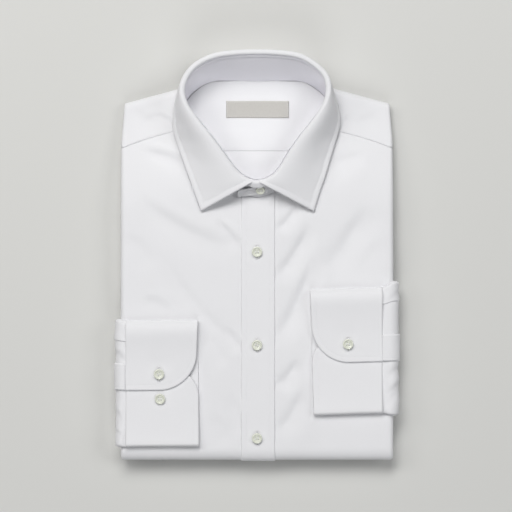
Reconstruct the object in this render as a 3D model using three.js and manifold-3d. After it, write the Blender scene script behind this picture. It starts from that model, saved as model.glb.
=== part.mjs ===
// Folded dress shirt, front up, collar toward +Y. Millimetres, +Z up, table at z = 0.
import * as THREE from 'three';
import { mergeVertices } from 'three/addons/utils/BufferGeometryUtils.js';
import Module from 'manifold-3d';

const wasm = await Module();
wasm.setup();

// ---- folded body -------------------------------------------------------
const HALF_WIDTH = 129.6;
const SHOULDER_NARROWING = 2.6;
const BODY_BOTTOM = -193.6;
const BODY_THICK = 24;
const BOTTOM_FOLD_R = BODY_THICK / 2;
const SHOULDER_R = 6;
const SHOULDER_RAMP = 100;
const SHOULDER_APEX = 181;
const SHOULDER_SLOPE = 0.27;
const SHOULDER_NECK_RISE = 3.5;
const NECK_BACK_Y = 175;
const SIDE_FOLD_R = 4.9;
const SIDE_FOLD_R_SHOULDER = 2.5;
const SIDE_RETURN = 6;
const TAIL_HEM_Y = 85;
const BACK_YOKE_END_Y = 95;
const CLOTH = 2;
const SEAM_GAP = 0.3;
const CORE_CLEARANCE = 0.6;

// ---- yoke seam, placket ------------------------------------------------
const YOKE_SEAM_PEAK_Y = 125.7;
const YOKE_SEAM_PEAK_X = 20;
const YOKE_SEAM_BEND = 0.00198;
const PLACKET_LEFT = -15.2;
const PLACKET_RIGHT = 17.1;
const PLACKET_RISE = 0.9;

// ---- neck opening ------------------------------------------------------
const NECK_CUT_Z = 9;
const NECK_FLOOR_DEPTH = 3.6;
const NECK_FLOOR_LIFT = 4.5;
const NECK_FLOOR_LIFT_Y = 120;
const NECK_FLOOR_LIFT_LENGTH = 48;
const NECK_FLOOR_THICK = 1.8;
const NECK_FLOOR_END_Y = 166.3;
const NECK_FLOOR_INSET = 0.5;
const LINING_SEAM_Y = 101;
const LABEL = { width: 60, height: 16.3, thick: 0.9, x: 0.5, y: 140.4 };

// ---- collar ------------------------------------------------------------
const COLLAR_WALL = 1.6;
const COLLAR_ROLL_R = 2.8;
const COLLAR_SEAM_DROP = 8;
const COLLAR_SEAM_DROP_FRONT = 0.8;
const COLLAR_SEAM_GAP = 0.5;
const COLLAR_STATIONS = 24;
const COLLAR_SAMPLES = 56;
const LEAF_START = 0.12;
const LEAF_END = 23.88;
const LEAF_LEAN_LEFT = -1.2;
const LEAF_LEAN_RIGHT = 0.62;
const LEAF_LEAN_STATIONS = 0.7;
const TAB_START_X = -17.9;
const TAB_END_X = 9;
const TAB_EXTRA = 1.7;

// One row per station from the centre front (0) to the centre back (12).
// base: neckline seam; rim: fold line, left and right; edge: free edge of the leaf.
// edgeZ: height of the free edge, on the body or hanging past the shoulders.
// steep: how steeply the leaf lands, 0 flat to 1 hanging.
const COLLAR_KEYS = [
  'baseX', 'baseY', 'rimL', 'rimR', 'rimY', 'rimZ',
  'edgeL', 'edgeLY', 'edgeR', 'edgeRY', 'edgeZ', 'steep',
];
const COLLAR = [
  [0, 57, 0, 0, 73.4, 35.5, -53.1, 42.7, 54.1, 42.3, 25.9, 0.12],
  [12, 60, -13.2, 13.7, 76.8, 36.2, -58.8, 58.3, 59.8, 61.3, 25.9, 0.14],
  [25, 66.5, -22.6, 22.2, 85.2, 37, -64.5, 74.5, 65.0, 76.5, 25.5, 0.18],
  [37, 76.5, -31.7, 30, 97.5, 38, -70.8, 91.8, 69.5, 92, 23.6, 0.25],
  [49, 88.5, -43.5, 41.2, 113.4, 39.3, -76.2, 108.5, 74.8, 110, 20.3, 0.4],
  [60, 101, -55.3, 53, 128.7, 40.6, -80, 122, 78.6, 124, 17.4, 0.55],
  [68, 116, -65.2, 62, 144.5, 42, -79.5, 135, 79, 136, 15.3, 0.75],
  [71, 132, -67.6, 64.4, 157.3, 43.2, -77, 149, 74.4, 151, 14.2, 0.9],
  [69, 146, -63.9, 61.9, 168.4, 44, -73.4, 164, 70.4, 164.4, 12.2, 1],
  [59, 158, -55.2, 52.4, 178.2, 44.5, -64.5, 177.5, 61.5, 177.5, 8.5, 1],
  [44, 166.5, -39.6, 38.8, 185.6, 45, -47, 185, 46, 185, 6.2, 1],
  [20, 167.6, -18.7, 17.8, 188.7, 45.2, -22, 188.4, 22, 188.4, 5.1, 1],
  [0, 167.2, 0, 0, 189.3, 45.3, 0, 189.2, 0, 189.2, 4.8, 1],
].map((row) => Object.fromEntries(COLLAR_KEYS.map((key, i) => [key, row[i]])));

// ---- sleeve ends and cuffs ----------------------------------------------
// One row per cuff; side is -1 at the viewer's left, y values run along the folded tube.
const CUFF_WALL = 1.3;
const CUFF_LAYER = 1.62;
const CUFF_CORNER_R = 27;
const SLEEVE_THICK = 3.7;
const SLEEVE_REACH_IN = 12;
const SLEEVE_BEND_R = 7.6;
const CUFFS = [
  {
    name: 'right', side: -1, seamX: -124.4, hemX: -55.4, topY: -60.6,
    bottomY: -180.0, flapY: -126.4, underY: -106,
    turn: 0.5, flareTop: 1.6, flareBottom: 0,
  },
  {
    name: 'left', side: 1, seamX: 118.8, hemX: 51.9, topY: -30.2,
    bottomY: -149.4, flapY: -100.2, underY: -80,
    turn: 1.8, flareTop: 5.5, flareBottom: 2,
  },
];
const TOP_PUFF = 1.9;
const BOTTOM_PUFF = 1.3;
const PUFF_LENGTH = 9;
const GAUNTLET_WIDTH = 24.5;
const GAUNTLET_WALL = 0.8;

// ---- buttons -------------------------------------------------------------
const BUTTON_R = 5;
const BUTTON_THICK = 2.3;
const BUTTON_HOLE_R = 0.62;
const BUTTON_HOLE_PITCH = 1.15;
const FRONT_BUTTON_Y = [4.3, -84.1, -172.4];
const CUFF_BUTTONS = [
  { name: 'button_cuff_right_upper', x: -92.7, y: -111.3, layer: 2 },
  { name: 'button_cuff_right_lower', x: -91.8, y: -134.9, layer: 1 },
  { name: 'button_cuff_left', x: 86.1, y: -82.9, layer: 2 },
];

// ---- small maths -----------------------------------------------------------
const lerp = (a, b, k) => a + (b - a) * k;
const clamp01 = (k) => Math.min(1, Math.max(0, k));
const smooth = (k) => clamp01(k) ** 2 * (3 - 2 * clamp01(k));
const steps = (a, b, n) => Array.from({ length: n + 1 }, (_, i) => lerp(a, b, i / n));
const vec = (x, y, z) => new THREE.Vector3(x, y, z);

// ---- closed meshes ---------------------------------------------------------
function solid(points, triangles) {
  let volume = 0;
  for (const [a, b, c] of triangles) {
    const cross = points[b].clone().cross(points[c]);
    volume += points[a].dot(cross);
  }
  const vertProperties = new Float32Array(points.flatMap((p) => [p.x, p.y, p.z]));
  const wound = triangles.flatMap(([a, b, c]) => (volume > 0 ? [a, b, c] : [a, c, b]));
  const mesh = new wasm.Mesh({ numProp: 3, vertProperties, triVerts: new Uint32Array(wound) });
  return new wasm.Manifold(mesh);
}

// Wall between two point grids of the same shape; ring joins the last row to the first.
function sheet(outer, inner, ring = false) {
  const rows = outer.length;
  const cols = outer[0].length;
  const points = [...outer.flat(), ...inner.flat()];
  const triangles = [];
  const at = (layer, i, j) => layer * rows * cols + (i % rows) * cols + j;
  const quad = (a, b, c, d) => triangles.push([a, b, c], [a, c, d]);
  const spans = ring ? rows : rows - 1;
  for (let i = 0; i < spans; i += 1) {
    for (let j = 0; j < cols - 1; j += 1) {
      quad(at(0, i, j), at(0, i + 1, j), at(0, i + 1, j + 1), at(0, i, j + 1));
      quad(at(1, i, j), at(1, i, j + 1), at(1, i + 1, j + 1), at(1, i + 1, j));
    }
    quad(at(0, i, 0), at(1, i, 0), at(1, i + 1, 0), at(0, i + 1, 0));
    const last = cols - 1;
    quad(at(0, i, last), at(0, i + 1, last), at(1, i + 1, last), at(1, i, last));
  }
  if (!ring) {
    for (let j = 0; j < cols - 1; j += 1) {
      const end = rows - 1;
      quad(at(0, 0, j), at(0, 0, j + 1), at(1, 0, j + 1), at(1, 0, j));
      quad(at(0, end, j), at(1, end, j), at(1, end, j + 1), at(0, end, j + 1));
    }
  }
  return solid(points, triangles);
}

// Loft through closed loops of equal length, capped from the middle of each end.
function loft(loops) {
  const n = loops[0].length;
  const points = loops.flat();
  const triangles = [];
  for (let i = 0; i < loops.length - 1; i += 1) {
    for (let j = 0; j < n; j += 1) {
      const a = i * n + j;
      const b = i * n + ((j + 1) % n);
      triangles.push([a, b, b + n], [a, b + n, a + n]);
    }
  }
  for (const [start, flip] of [[0, true], [(loops.length - 1) * n, false]]) {
    const middle = vec(0, 0, 0);
    points.slice(start, start + n).forEach((p) => middle.addScaledVector(p, 1 / n));
    points.push(middle);
    for (let j = 0; j < n; j += 1) {
      const a = start + j;
      const b = start + ((j + 1) % n);
      triangles.push(flip ? [points.length - 1, b, a] : [points.length - 1, a, b]);
    }
  }
  return solid(points, triangles);
}

function prism(outline, z0, z1) {
  return loft([z0, z1].map((z) => outline.map((p) => vec(p.x, p.y, z))));
}

function box(x0, x1, y0, y1, z0, z1) {
  const corners = [[x0, y0], [x1, y0], [x1, y1], [x0, y1]];
  return prism(corners.map(([x, y]) => vec(x, y, 0)), z0, z1);
}

// ---- folded body as one bag of cloth ------------------------------------------
function shoulderLine(x) {
  const neckRise = SHOULDER_NECK_RISE * smooth((80 - Math.abs(x)) / 40);
  const slanted = SHOULDER_APEX - SHOULDER_SLOPE * Math.abs(x) + neckRise;
  const soft = 1;
  const mean = (slanted + NECK_BACK_Y) / 2;
  const half = (slanted - NECK_BACK_Y) / 2;
  return mean - Math.sqrt(half * half + soft);
}

function topHeight(x, y) {
  const low = 2 * SHOULDER_R;
  const k = smooth((shoulderLine(x) - SHOULDER_R - y) / SHOULDER_RAMP);
  return lerp(low, BODY_THICK, k);
}

// Lengthwise profile: 0-1 tail on the underside, 1-2 bottom fold, 2-3 front,
// 3-4 shoulder fold, 4-5 back yoke on the underside.
function profile(b, x) {
  const yBottom = BODY_BOTTOM + BOTTOM_FOLD_R;
  const yTop = shoulderLine(x) - SHOULDER_R;
  if (b <= 1) {
    return { y: lerp(TAIL_HEM_Y, yBottom, b), z: 0, ny: 0, nz: -1, r: SIDE_FOLD_R };
  }
  if (b <= 2) {
    const angle = -Math.PI / 2 - Math.PI * (b - 1);
    const ny = Math.cos(angle);
    const nz = Math.sin(angle);
    const y = yBottom + BOTTOM_FOLD_R * ny;
    return { y, z: BOTTOM_FOLD_R * (1 + nz), ny, nz, r: SIDE_FOLD_R };
  }
  if (b <= 3) {
    const y = lerp(yBottom, yTop, b - 2);
    const rise = (topHeight(x, y + 0.5) - topHeight(x, y - 0.5));
    const length = Math.hypot(rise, 1);
    const k = smooth((yTop - y) / SHOULDER_RAMP);
    const r = lerp(SIDE_FOLD_R_SHOULDER, SIDE_FOLD_R, k);
    return { y, z: topHeight(x, y), ny: -rise / length, nz: 1 / length, r };
  }
  if (b <= 4) {
    const angle = Math.PI / 2 - Math.PI * (b - 3);
    const ny = Math.cos(angle);
    const nz = Math.sin(angle);
    const y = yTop + SHOULDER_R * ny;
    return { y, z: SHOULDER_R * (1 + nz), ny, nz, r: SIDE_FOLD_R_SHOULDER };
  }
  const y = lerp(yTop, BACK_YOKE_END_Y, b - 4);
  return { y, z: 0, ny: 0, nz: -1, r: SIDE_FOLD_R_SHOULDER };
}

// A place across the body: x on the flat, turn in degrees round the side fold, length turned in.
const FLAT_HALF = HALF_WIDTH - SIDE_FOLD_R;
const flat = (x) => ({ x, side: Math.sign(x), turn: 0, inward: 0 });
function sideFold(side, segments) {
  const round = steps(0, 180, segments);
  const places = round.map((turn) => ({ x: side * FLAT_HALF, side, turn, inward: 0 }));
  places.push({ x: side * FLAT_HALF, side, turn: 180, inward: SIDE_RETURN });
  return places;
}

function bagPoint(place, b, depth) {
  const p = profile(b, place.x);
  const narrowing = SHOULDER_NARROWING * smooth((p.y - 104) / 45);
  const scale = (HALF_WIDTH - narrowing - p.r) / FLAT_HALF;
  const turn = THREE.MathUtils.degToRad(place.turn);
  const radius = p.r - depth;
  const x = place.x * scale + place.side * (radius * Math.sin(turn) - place.inward);
  const down = p.r - radius * Math.cos(turn);
  return vec(x, p.y - p.ny * down, p.z - p.nz * down);
}

function yokeSeamY(x) {
  const out = Math.max(0, Math.abs(x) - YOKE_SEAM_PEAK_X);
  return YOKE_SEAM_PEAK_Y - YOKE_SEAM_BEND * out * out;
}

function frontParameter(x, y) {
  const yBottom = BODY_BOTTOM + BOTTOM_FOLD_R;
  return 2 + (y - yBottom) / (shoulderLine(x) - SHOULDER_R - yBottom);
}

const TAIL_ROWS = steps(0, 1, 2);
const BOTTOM_ROWS = steps(1, 2, 8).slice(1);
const FRONT_ROWS = 11;
const YOKE_ROWS = 5;
const FRONT_COLUMNS = 7;
const YOKE_COLUMNS = 14;
const SIDE_SEGMENTS = 6;

function frontRows(x, upTo) {
  const top = frontParameter(x, upTo);
  return [...TAIL_ROWS, ...BOTTOM_ROWS, ...steps(2, top, FRONT_ROWS).slice(1)];
}

function yokeRows(x, from) {
  const start = frontParameter(x, from);
  const shoulder = steps(3, 4, 5).slice(1);
  const under = steps(4, 5, 2).slice(1);
  return [...steps(start, 3, YOKE_ROWS), ...shoulder, ...under];
}

// rise lifts the cloth off the bag on the front only; the underside stays flat.
function bagSheet(places, rowsAt, outerDepth, innerDepth, rise = 0) {
  const layer = (depth) => places.map((place) => {
    return rowsAt(place.x).map((b) => bagPoint(place, b, depth - rise * smooth(b - 1)));
  });
  return sheet(layer(outerDepth), layer(innerDepth));
}

// ---- collar curves ---------------------------------------------------------------
function mirrored(leftKey, rightKey) {
  const left = COLLAR.map(leftKey);
  const right = COLLAR.slice(1, -1).reverse().map(rightKey);
  return [...left, ...right];
}

function baseHeight(row) {
  const y = row.baseY + 1;
  const over = y - (shoulderLine(row.baseX) - SHOULDER_R);
  const top = over > 0 ? SHOULDER_R + Math.sqrt(SHOULDER_R ** 2 - over ** 2) : topHeight(row.baseX, y);
  return top + 1.3;
}

const baseRing = new THREE.CatmullRomCurve3(mirrored(
  (row) => vec(-row.baseX, row.baseY, baseHeight(row)),
  (row) => vec(row.baseX, row.baseY, baseHeight(row)),
), true, 'centripetal');
const rimRing = new THREE.CatmullRomCurve3(mirrored(
  (row) => vec(row.rimL, row.rimY, row.rimZ),
  (row) => vec(row.rimR, row.rimY, row.rimZ),
), true, 'centripetal');
const leafEdge = new THREE.CatmullRomCurve3([
  ...COLLAR.map((row) => vec(row.edgeL, row.edgeLY, row.edgeZ)),
  ...COLLAR.slice(0, -1).reverse().map((row) => vec(row.edgeR, row.edgeRY, row.edgeZ)),
], false, 'centripetal');
const landing = new THREE.CatmullRomCurve3([
  ...COLLAR.map((row) => vec(row.steep, 0, 0)),
  ...COLLAR.slice(0, -1).reverse().map((row) => vec(row.steep, 0, 0)),
], false, 'catmullrom');

function frontNearness(station) {
  const away = Math.min(station, COLLAR_STATIONS - station);
  return 1 - smooth((away - 0.3) / 2.4);
}

// Directions at a station: up the stand, and out of the neck across the fold.
function collarFrame(station) {
  const u = (station / COLLAR_STATIONS) % 1;
  const base = baseRing.getPoint(u);
  const rim = rimRing.getPoint(u);
  const along = rimRing.getTangent(u);
  const up = rim.clone().sub(base).normalize();
  const out = along.clone().cross(up).normalize();
  const centre = vec(0, 120, rim.z);
  if (out.dot(rim.clone().sub(centre)) < 0) {
    out.negate();
  }
  const drop = lerp(COLLAR_SEAM_DROP, COLLAR_SEAM_DROP_FRONT, frontNearness(station));
  const seam = rim.clone().addScaledVector(up, -drop);
  return { base, rim, up, out, seam };
}

function standLine(station, heights) {
  const { base, seam, out } = collarFrame(station);
  const top = seam.clone().addScaledVector(seam.clone().sub(base).normalize(), -COLLAR_SEAM_GAP);
  return heights.map((k) => {
    const p = base.clone().lerp(top, k);
    return p.addScaledVector(out, -0.8 * Math.sin(Math.PI * k));
  });
}

function leafLine(station, rollSegments, fallSegments) {
  const { rim, up, out, seam } = collarFrame(station);
  const k = (station - LEAF_START) / (LEAF_END - LEAF_START);
  const away = Math.min(station, COLLAR_STATIONS - station);
  const lean = station < COLLAR_STATIONS / 2 ? LEAF_LEAN_LEFT : LEAF_LEAN_RIGHT;
  out.x += lean * Math.exp(-((away / LEAF_LEAN_STATIONS) ** 2));
  const centre = rim.clone().addScaledVector(out, COLLAR_ROLL_R);
  const line = [seam.clone()];
  for (const turn of steps(0, Math.PI, rollSegments)) {
    const p = centre.clone().addScaledVector(out, -COLLAR_ROLL_R * Math.cos(turn));
    line.push(p.addScaledVector(up, COLLAR_ROLL_R * Math.sin(turn)));
  }
  const start = line[line.length - 1];
  const end = leafEdge.getPoint(clamp01(k));
  const reach = end.clone().sub(start);
  const length = reach.length();
  const steep = clamp01(landing.getPoint(clamp01(k)).x);
  const level = vec(reach.x, reach.y, 0).normalize();
  const front = frontNearness(station);
  const ahead = level.clone().multiplyScalar(front).addScaledVector(up, front - 1).normalize();
  const settle = level.multiplyScalar(1 - steep).add(vec(0, 0, -steep - 0.08)).normalize();
  const arrive = settle.lerp(reach.clone().normalize(), 0.55).normalize();
  const c1 = start.clone().addScaledVector(ahead, 0.36 * length);
  const c2 = end.clone().addScaledVector(arrive, -0.34 * length);
  const fall = new THREE.CubicBezierCurve3(start, c1, c2, end);
  return [...line, ...steps(0, 1, fallSegments).slice(1).map((t) => fall.getPoint(t))];
}

// Normals of a point grid, pointing to the hidden side of the cloth.
function inwardNormals(grid, ring) {
  const rows = grid.length;
  const cols = grid[0].length;
  return grid.map((row, i) => row.map((_, j) => {
    const before = ring ? (i + rows - 1) % rows : Math.max(0, i - 1);
    const after = ring ? (i + 1) % rows : Math.min(rows - 1, i + 1);
    const du = grid[after][j].clone().sub(grid[before][j]);
    const dv = grid[i][Math.min(cols - 1, j + 1)].clone().sub(grid[i][Math.max(0, j - 1)]);
    return dv.cross(du).normalize();
  }));
}

function wallFrom(grid, thickness, ring) {
  const normals = inwardNormals(grid, ring);
  const inner = grid.map((row, i) => row.map((p, j) => {
    return p.clone().addScaledVector(normals[i][j], thickness(p, j / (row.length - 1)));
  }));
  return sheet(grid, inner, ring);
}

// ---- sleeve ends -----------------------------------------------------------------
function sleevePath(cuff) {
  const { side } = cuff;
  const end = Math.abs(cuff.seamX) + SEAM_GAP;
  const cx = HALF_WIDTH - SIDE_FOLD_R;
  const cz = BODY_THICK - SIDE_FOLD_R;
  const low = BODY_THICK / 2 - 0.1;
  const places = [{ x: cx - SLEEVE_REACH_IN, z: low, nx: 0, nz: -1, open: 0 }];
  for (const turn of steps(-90, 90, 9)) {
    const a = THREE.MathUtils.degToRad(turn);
    const nx = Math.cos(a);
    const nz = Math.sin(a);
    const radius = lerp(cz - low, SLEEVE_BEND_R, nx * nx);
    places.push({ x: cx + radius * nx, z: cz + radius * nz, nx, nz, open: smooth((turn + 80) / 70) });
  }
  if (end < cx - 1) {
    places.push({ ...places[places.length - 1], x: end });
  }
  return places.map((p) => ({ ...p, x: side * p.x, nx: side * p.nx }));
}

function tuck(k, at, width) {
  const d = (k - at) / width;
  return d > 0 ? Math.exp(-d * d) : Math.exp(-d * d * 16);
}

function sleeveLoop(place, y0, y1) {
  const half = SLEEVE_THICK / 2;
  const span = steps(0, 1, 16);
  const lift = (k) => {
    const y = lerp(y0, y1, k);
    const edge = Math.min(y - Math.min(y0, y1), Math.max(y0, y1) - y);
    return half * Math.sqrt(clamp01(1 - (1 - clamp01(edge / half)) ** 2));
  };
  const spread = span.map((k) => (1 - Math.cos(Math.PI * k)) / 2);
  const outside = spread.map((k) => {
    const ridge = 0.55 * place.open * (tuck(k, 0.16, 0.08) + tuck(k, 0.8, 0.07));
    return { y: lerp(y0, y1, k), n: lift(k) * (1 + ridge / half) };
  });
  const inside = spread.slice(1, -1).reverse().map((k) => ({ y: lerp(y0, y1, k), n: -lift(k) }));
  return [...outside, ...inside].map(({ y, n }) => {
    return vec(place.x + place.nx * n, y, place.z + place.nz * n);
  });
}

function cuffPlacement(cuff) {
  const middle = vec((cuff.seamX + cuff.hemX) / 2, (cuff.topY + cuff.bottomY) / 2, 0);
  const angle = THREE.MathUtils.degToRad(cuff.turn);
  return (x, y, z) => {
    const fromSeam = (x - cuff.seamX) / (cuff.hemX - cuff.seamX);
    const px = x - (y - middle.y) * Math.sin(angle) * fromSeam;
    const py = y + (x - middle.x) * Math.sin(angle);
    return vec(px, py, z);
  };
}

function sleeveEnd(cuff) {
  const place = cuffPlacement(cuff);
  const top = place(cuff.seamX, cuff.topY, 0).y;
  const bottom = place(cuff.seamX, cuff.bottomY, 0).y;
  const loops = sleevePath(cuff).map((p) => {
    const flare = smooth((Math.abs(p.x) - Math.abs(cuff.seamX)) / 12);
    return sleeveLoop(p, top + cuff.flareTop * flare, bottom - cuff.flareBottom * flare);
  });
  return loft(loops);
}

function gauntlet(cuff) {
  const place = cuffPlacement(cuff);
  const low = place(cuff.seamX, cuff.flapY, 0).y + 0.6;
  const path = sleevePath(cuff).slice(4);
  const away = SLEEVE_THICK / 2 + SEAM_GAP;
  const layer = (n) => path.map((p) => steps(low, low + GAUNTLET_WIDTH, 2).map((y) => {
    return vec(p.x + p.nx * n, y, p.z + p.nz * n);
  }));
  return sheet(layer(away + GAUNTLET_WALL), layer(away));
}

// ---- cuffs -----------------------------------------------------------------------
const CUFF_BACK_Z = BODY_THICK + SEAM_GAP + CUFF_WALL / 2;
const underlapZ = CUFF_BACK_Z + CUFF_LAYER;
const flapZ = underlapZ + CUFF_LAYER;

function cuffPath(cuff) {
  const path = [];
  const corner = [0, 0.8, 2.5, 5, 9, 14, 20, CUFF_CORNER_R];
  const bottomR = (underlapZ + BOTTOM_PUFF - CUFF_BACK_Z) / 2;
  const topR = (flapZ + TOP_PUFF - CUFF_BACK_Z) / 2;
  const lowY = cuff.bottomY + bottomR + CUFF_WALL / 2;
  const highY = cuff.topY - topR - CUFF_WALL / 2;
  const under = (y) => underlapZ + BOTTOM_PUFF * Math.exp(-(y - lowY) / PUFF_LENGTH);
  const over = (y) => flapZ + TOP_PUFF * Math.exp(-(highY - y) / PUFF_LENGTH);
  for (const e of corner) {
    path.push({ y: cuff.underY - e, z: under(cuff.underY - e), ny: 0, nz: 1, e });
  }
  for (const y of steps(cuff.underY - CUFF_CORNER_R, lowY, 7).slice(1)) {
    path.push({ y, z: under(y), ny: 0, nz: 1, e: CUFF_CORNER_R });
  }
  for (const turn of steps(90, 270, 6).slice(1)) {
    const a = THREE.MathUtils.degToRad(turn);
    const z = CUFF_BACK_Z + bottomR + bottomR * Math.sin(a);
    path.push({ y: lowY + bottomR * Math.cos(a), z, ny: Math.cos(a), nz: Math.sin(a), e: CUFF_CORNER_R });
  }
  for (const y of steps(lowY, highY, 3).slice(1)) {
    path.push({ y, z: CUFF_BACK_Z, ny: 0, nz: -1, e: CUFF_CORNER_R });
  }
  for (const turn of steps(-90, 90, 7).slice(1)) {
    const a = THREE.MathUtils.degToRad(turn);
    const z = CUFF_BACK_Z + topR + topR * Math.sin(a);
    path.push({ y: highY + topR * Math.cos(a), z, ny: Math.cos(a), nz: Math.sin(a), e: CUFF_CORNER_R });
  }
  for (const y of steps(highY, cuff.flapY + CUFF_CORNER_R, 5).slice(1, -1)) {
    path.push({ y, z: over(y), ny: 0, nz: 1, e: CUFF_CORNER_R });
  }
  for (const e of [...corner].reverse()) {
    path.push({ y: cuff.flapY + e, z: over(cuff.flapY + e), ny: 0, nz: 1, e });
  }
  return path;
}

function cuffSolid(cuff) {
  const place = cuffPlacement(cuff);
  const path = cuffPath(cuff);
  const along = Math.sign(cuff.hemX - cuff.seamX);
  const layer = (n) => path.map((p) => {
    const cut = CUFF_CORNER_R - Math.sqrt(CUFF_CORNER_R ** 2 - (CUFF_CORNER_R - p.e) ** 2);
    const end = cuff.hemX - along * cut;
    return steps(cuff.seamX, end, 3).map((x) => place(x, p.y + p.ny * n, p.z + p.nz * n));
  });
  return sheet(layer(CUFF_WALL / 2), layer(-CUFF_WALL / 2));
}

// ---- buttons ---------------------------------------------------------------------
function button(radius, thick) {
  const outline = [
    [0, 0], [radius * 0.72, 0], [radius, thick * 0.4], [radius, thick * 0.7],
    [radius * 0.84, thick], [radius * 0.58, thick * 0.64], [0, thick * 0.58],
  ];
  const segments = 16;
  const points = [vec(0, 0, 0), vec(0, 0, outline[outline.length - 1][1])];
  const rings = outline.slice(1, -1);
  for (const [r, z] of rings) {
    for (let i = 0; i < segments; i += 1) {
      const a = (i / segments) * 2 * Math.PI;
      points.push(vec(r * Math.cos(a), r * Math.sin(a), z));
    }
  }
  const at = (ring, i) => 2 + ring * segments + (i % segments);
  const triangles = [];
  for (let i = 0; i < segments; i += 1) {
    triangles.push([0, at(0, i + 1), at(0, i)]);
    triangles.push([1, at(rings.length - 1, i), at(rings.length - 1, i + 1)]);
    for (let ring = 0; ring < rings.length - 1; ring += 1) {
      triangles.push([at(ring, i), at(ring, i + 1), at(ring + 1, i + 1)]);
      triangles.push([at(ring, i), at(ring + 1, i + 1), at(ring + 1, i)]);
    }
  }
  let body = solid(points, triangles);
  for (const sx of [-1, 1]) {
    for (const sy of [-1, 1]) {
      const cx = sx * BUTTON_HOLE_PITCH;
      const cy = sy * BUTTON_HOLE_PITCH;
      const hole = steps(0, 288, 4).map((deg) => {
        const a = THREE.MathUtils.degToRad(deg);
        return vec(cx + BUTTON_HOLE_R * Math.cos(a), cy + BUTTON_HOLE_R * Math.sin(a), 0);
      });
      body = body.subtract(prism(hole, -1, thick + 1));
    }
  }
  return body;
}

// ---- assembly ----------------------------------------------------------------------
const shirt = new THREE.Group();
shirt.name = 'folded_dress_shirt';

function add(name, manifold, look) {
  const mesh = manifold.getMesh();
  const geometry = new THREE.BufferGeometry();
  geometry.setAttribute('position', new THREE.BufferAttribute(mesh.vertProperties, 3));
  geometry.setIndex(new THREE.BufferAttribute(mesh.triVerts, 1));
  const merged = mergeVertices(geometry, 1e-4);
  merged.computeVertexNormals();
  const node = new THREE.Mesh(merged, new THREE.MeshStandardMaterial(look));
  node.name = name;
  shirt.add(node);
}

const COTTON = { color: 0xf3f3f6, roughness: 0.82, metalness: 0 };
const LINING = { color: 0xf6f6f8, roughness: 0.84, metalness: 0 };
const LABEL_CLOTH = { color: 0xcfcdc6, roughness: 0.6, metalness: 0 };
const PEARL = { color: 0xe6eadd, roughness: 0.28, metalness: 0 };

const neckOutline = steps(0, 1, 64).slice(0, -1).map((u) => baseRing.getPoint(u));

// Height of the back seen through the neck: it rises to the seam behind the collar.
function neckFloor(y) {
  const lift = NECK_FLOOR_LIFT * smooth((y - NECK_FLOOR_LIFT_Y) / NECK_FLOOR_LIFT_LENGTH);
  return topHeight(0, y) - NECK_FLOOR_DEPTH + lift;
}

function neckHalfWidth(y) {
  const side = neckOutline.slice(0, 29);
  const next = side.findIndex((p) => p.y > y);
  if (next < 1) {
    return next === 0 ? 0 : -side[side.length - 1].x;
  }
  const before = side[next - 1];
  const after = side[next];
  return -lerp(before.x, after.x, (y - before.y) / (after.y - before.y));
}

// Panel across the neck opening between two heights that follow y.
function neckPanel(y0, y1, rows, grow, topAt, bottomAt) {
  const layer = (heightAt) => steps(y0, y1, rows).map((y) => {
    const half = Math.max(0.6, neckHalfWidth(y) + grow);
    return [-half, half].map((x) => vec(x, y, heightAt(y)));
  });
  return sheet(layer(topAt), layer(bottomAt));
}
const neckHole = prism(neckOutline, NECK_CUT_Z, 60);

// Fronts, placket and yoke, cut from the bag of cloth.
const halfGap = SEAM_GAP / 2;
const seamBelow = (x) => frontRows(x, yokeSeamY(x) - halfGap);
const seamAbove = (x) => yokeRows(x, yokeSeamY(x) + halfGap);
const leftEdge = PLACKET_LEFT - SEAM_GAP;
const rightEdge = PLACKET_RIGHT + SEAM_GAP;
const rightPlaces = [
  ...steps(leftEdge, -FLAT_HALF, FRONT_COLUMNS).slice(0, -1).map(flat),
  ...sideFold(-1, SIDE_SEGMENTS),
];
const leftPlaces = [
  ...steps(rightEdge, FLAT_HALF, FRONT_COLUMNS).slice(0, -1).map(flat),
  ...sideFold(1, SIDE_SEGMENTS),
];
const yokePlaces = [
  ...sideFold(-1, SIDE_SEGMENTS).reverse(),
  ...steps(-FLAT_HALF, FLAT_HALF, YOKE_COLUMNS).slice(1, -1).map(flat),
  ...sideFold(1, SIDE_SEGMENTS),
];
add('right_front', bagSheet(rightPlaces, seamBelow, 0, CLOTH).subtract(neckHole), COTTON);
add('left_front', bagSheet(leftPlaces, seamBelow, 0, CLOTH).subtract(neckHole), COTTON);
add('yoke', bagSheet(yokePlaces, seamAbove, 0, CLOTH).subtract(neckHole), COTTON);
const placketPlaces = steps(PLACKET_LEFT, PLACKET_RIGHT, 2).map(flat);
const placket = bagSheet(placketPlaces, seamBelow, 0, CLOTH, PLACKET_RISE);
add('placket', placket.subtract(neckHole), COTTON);

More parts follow.
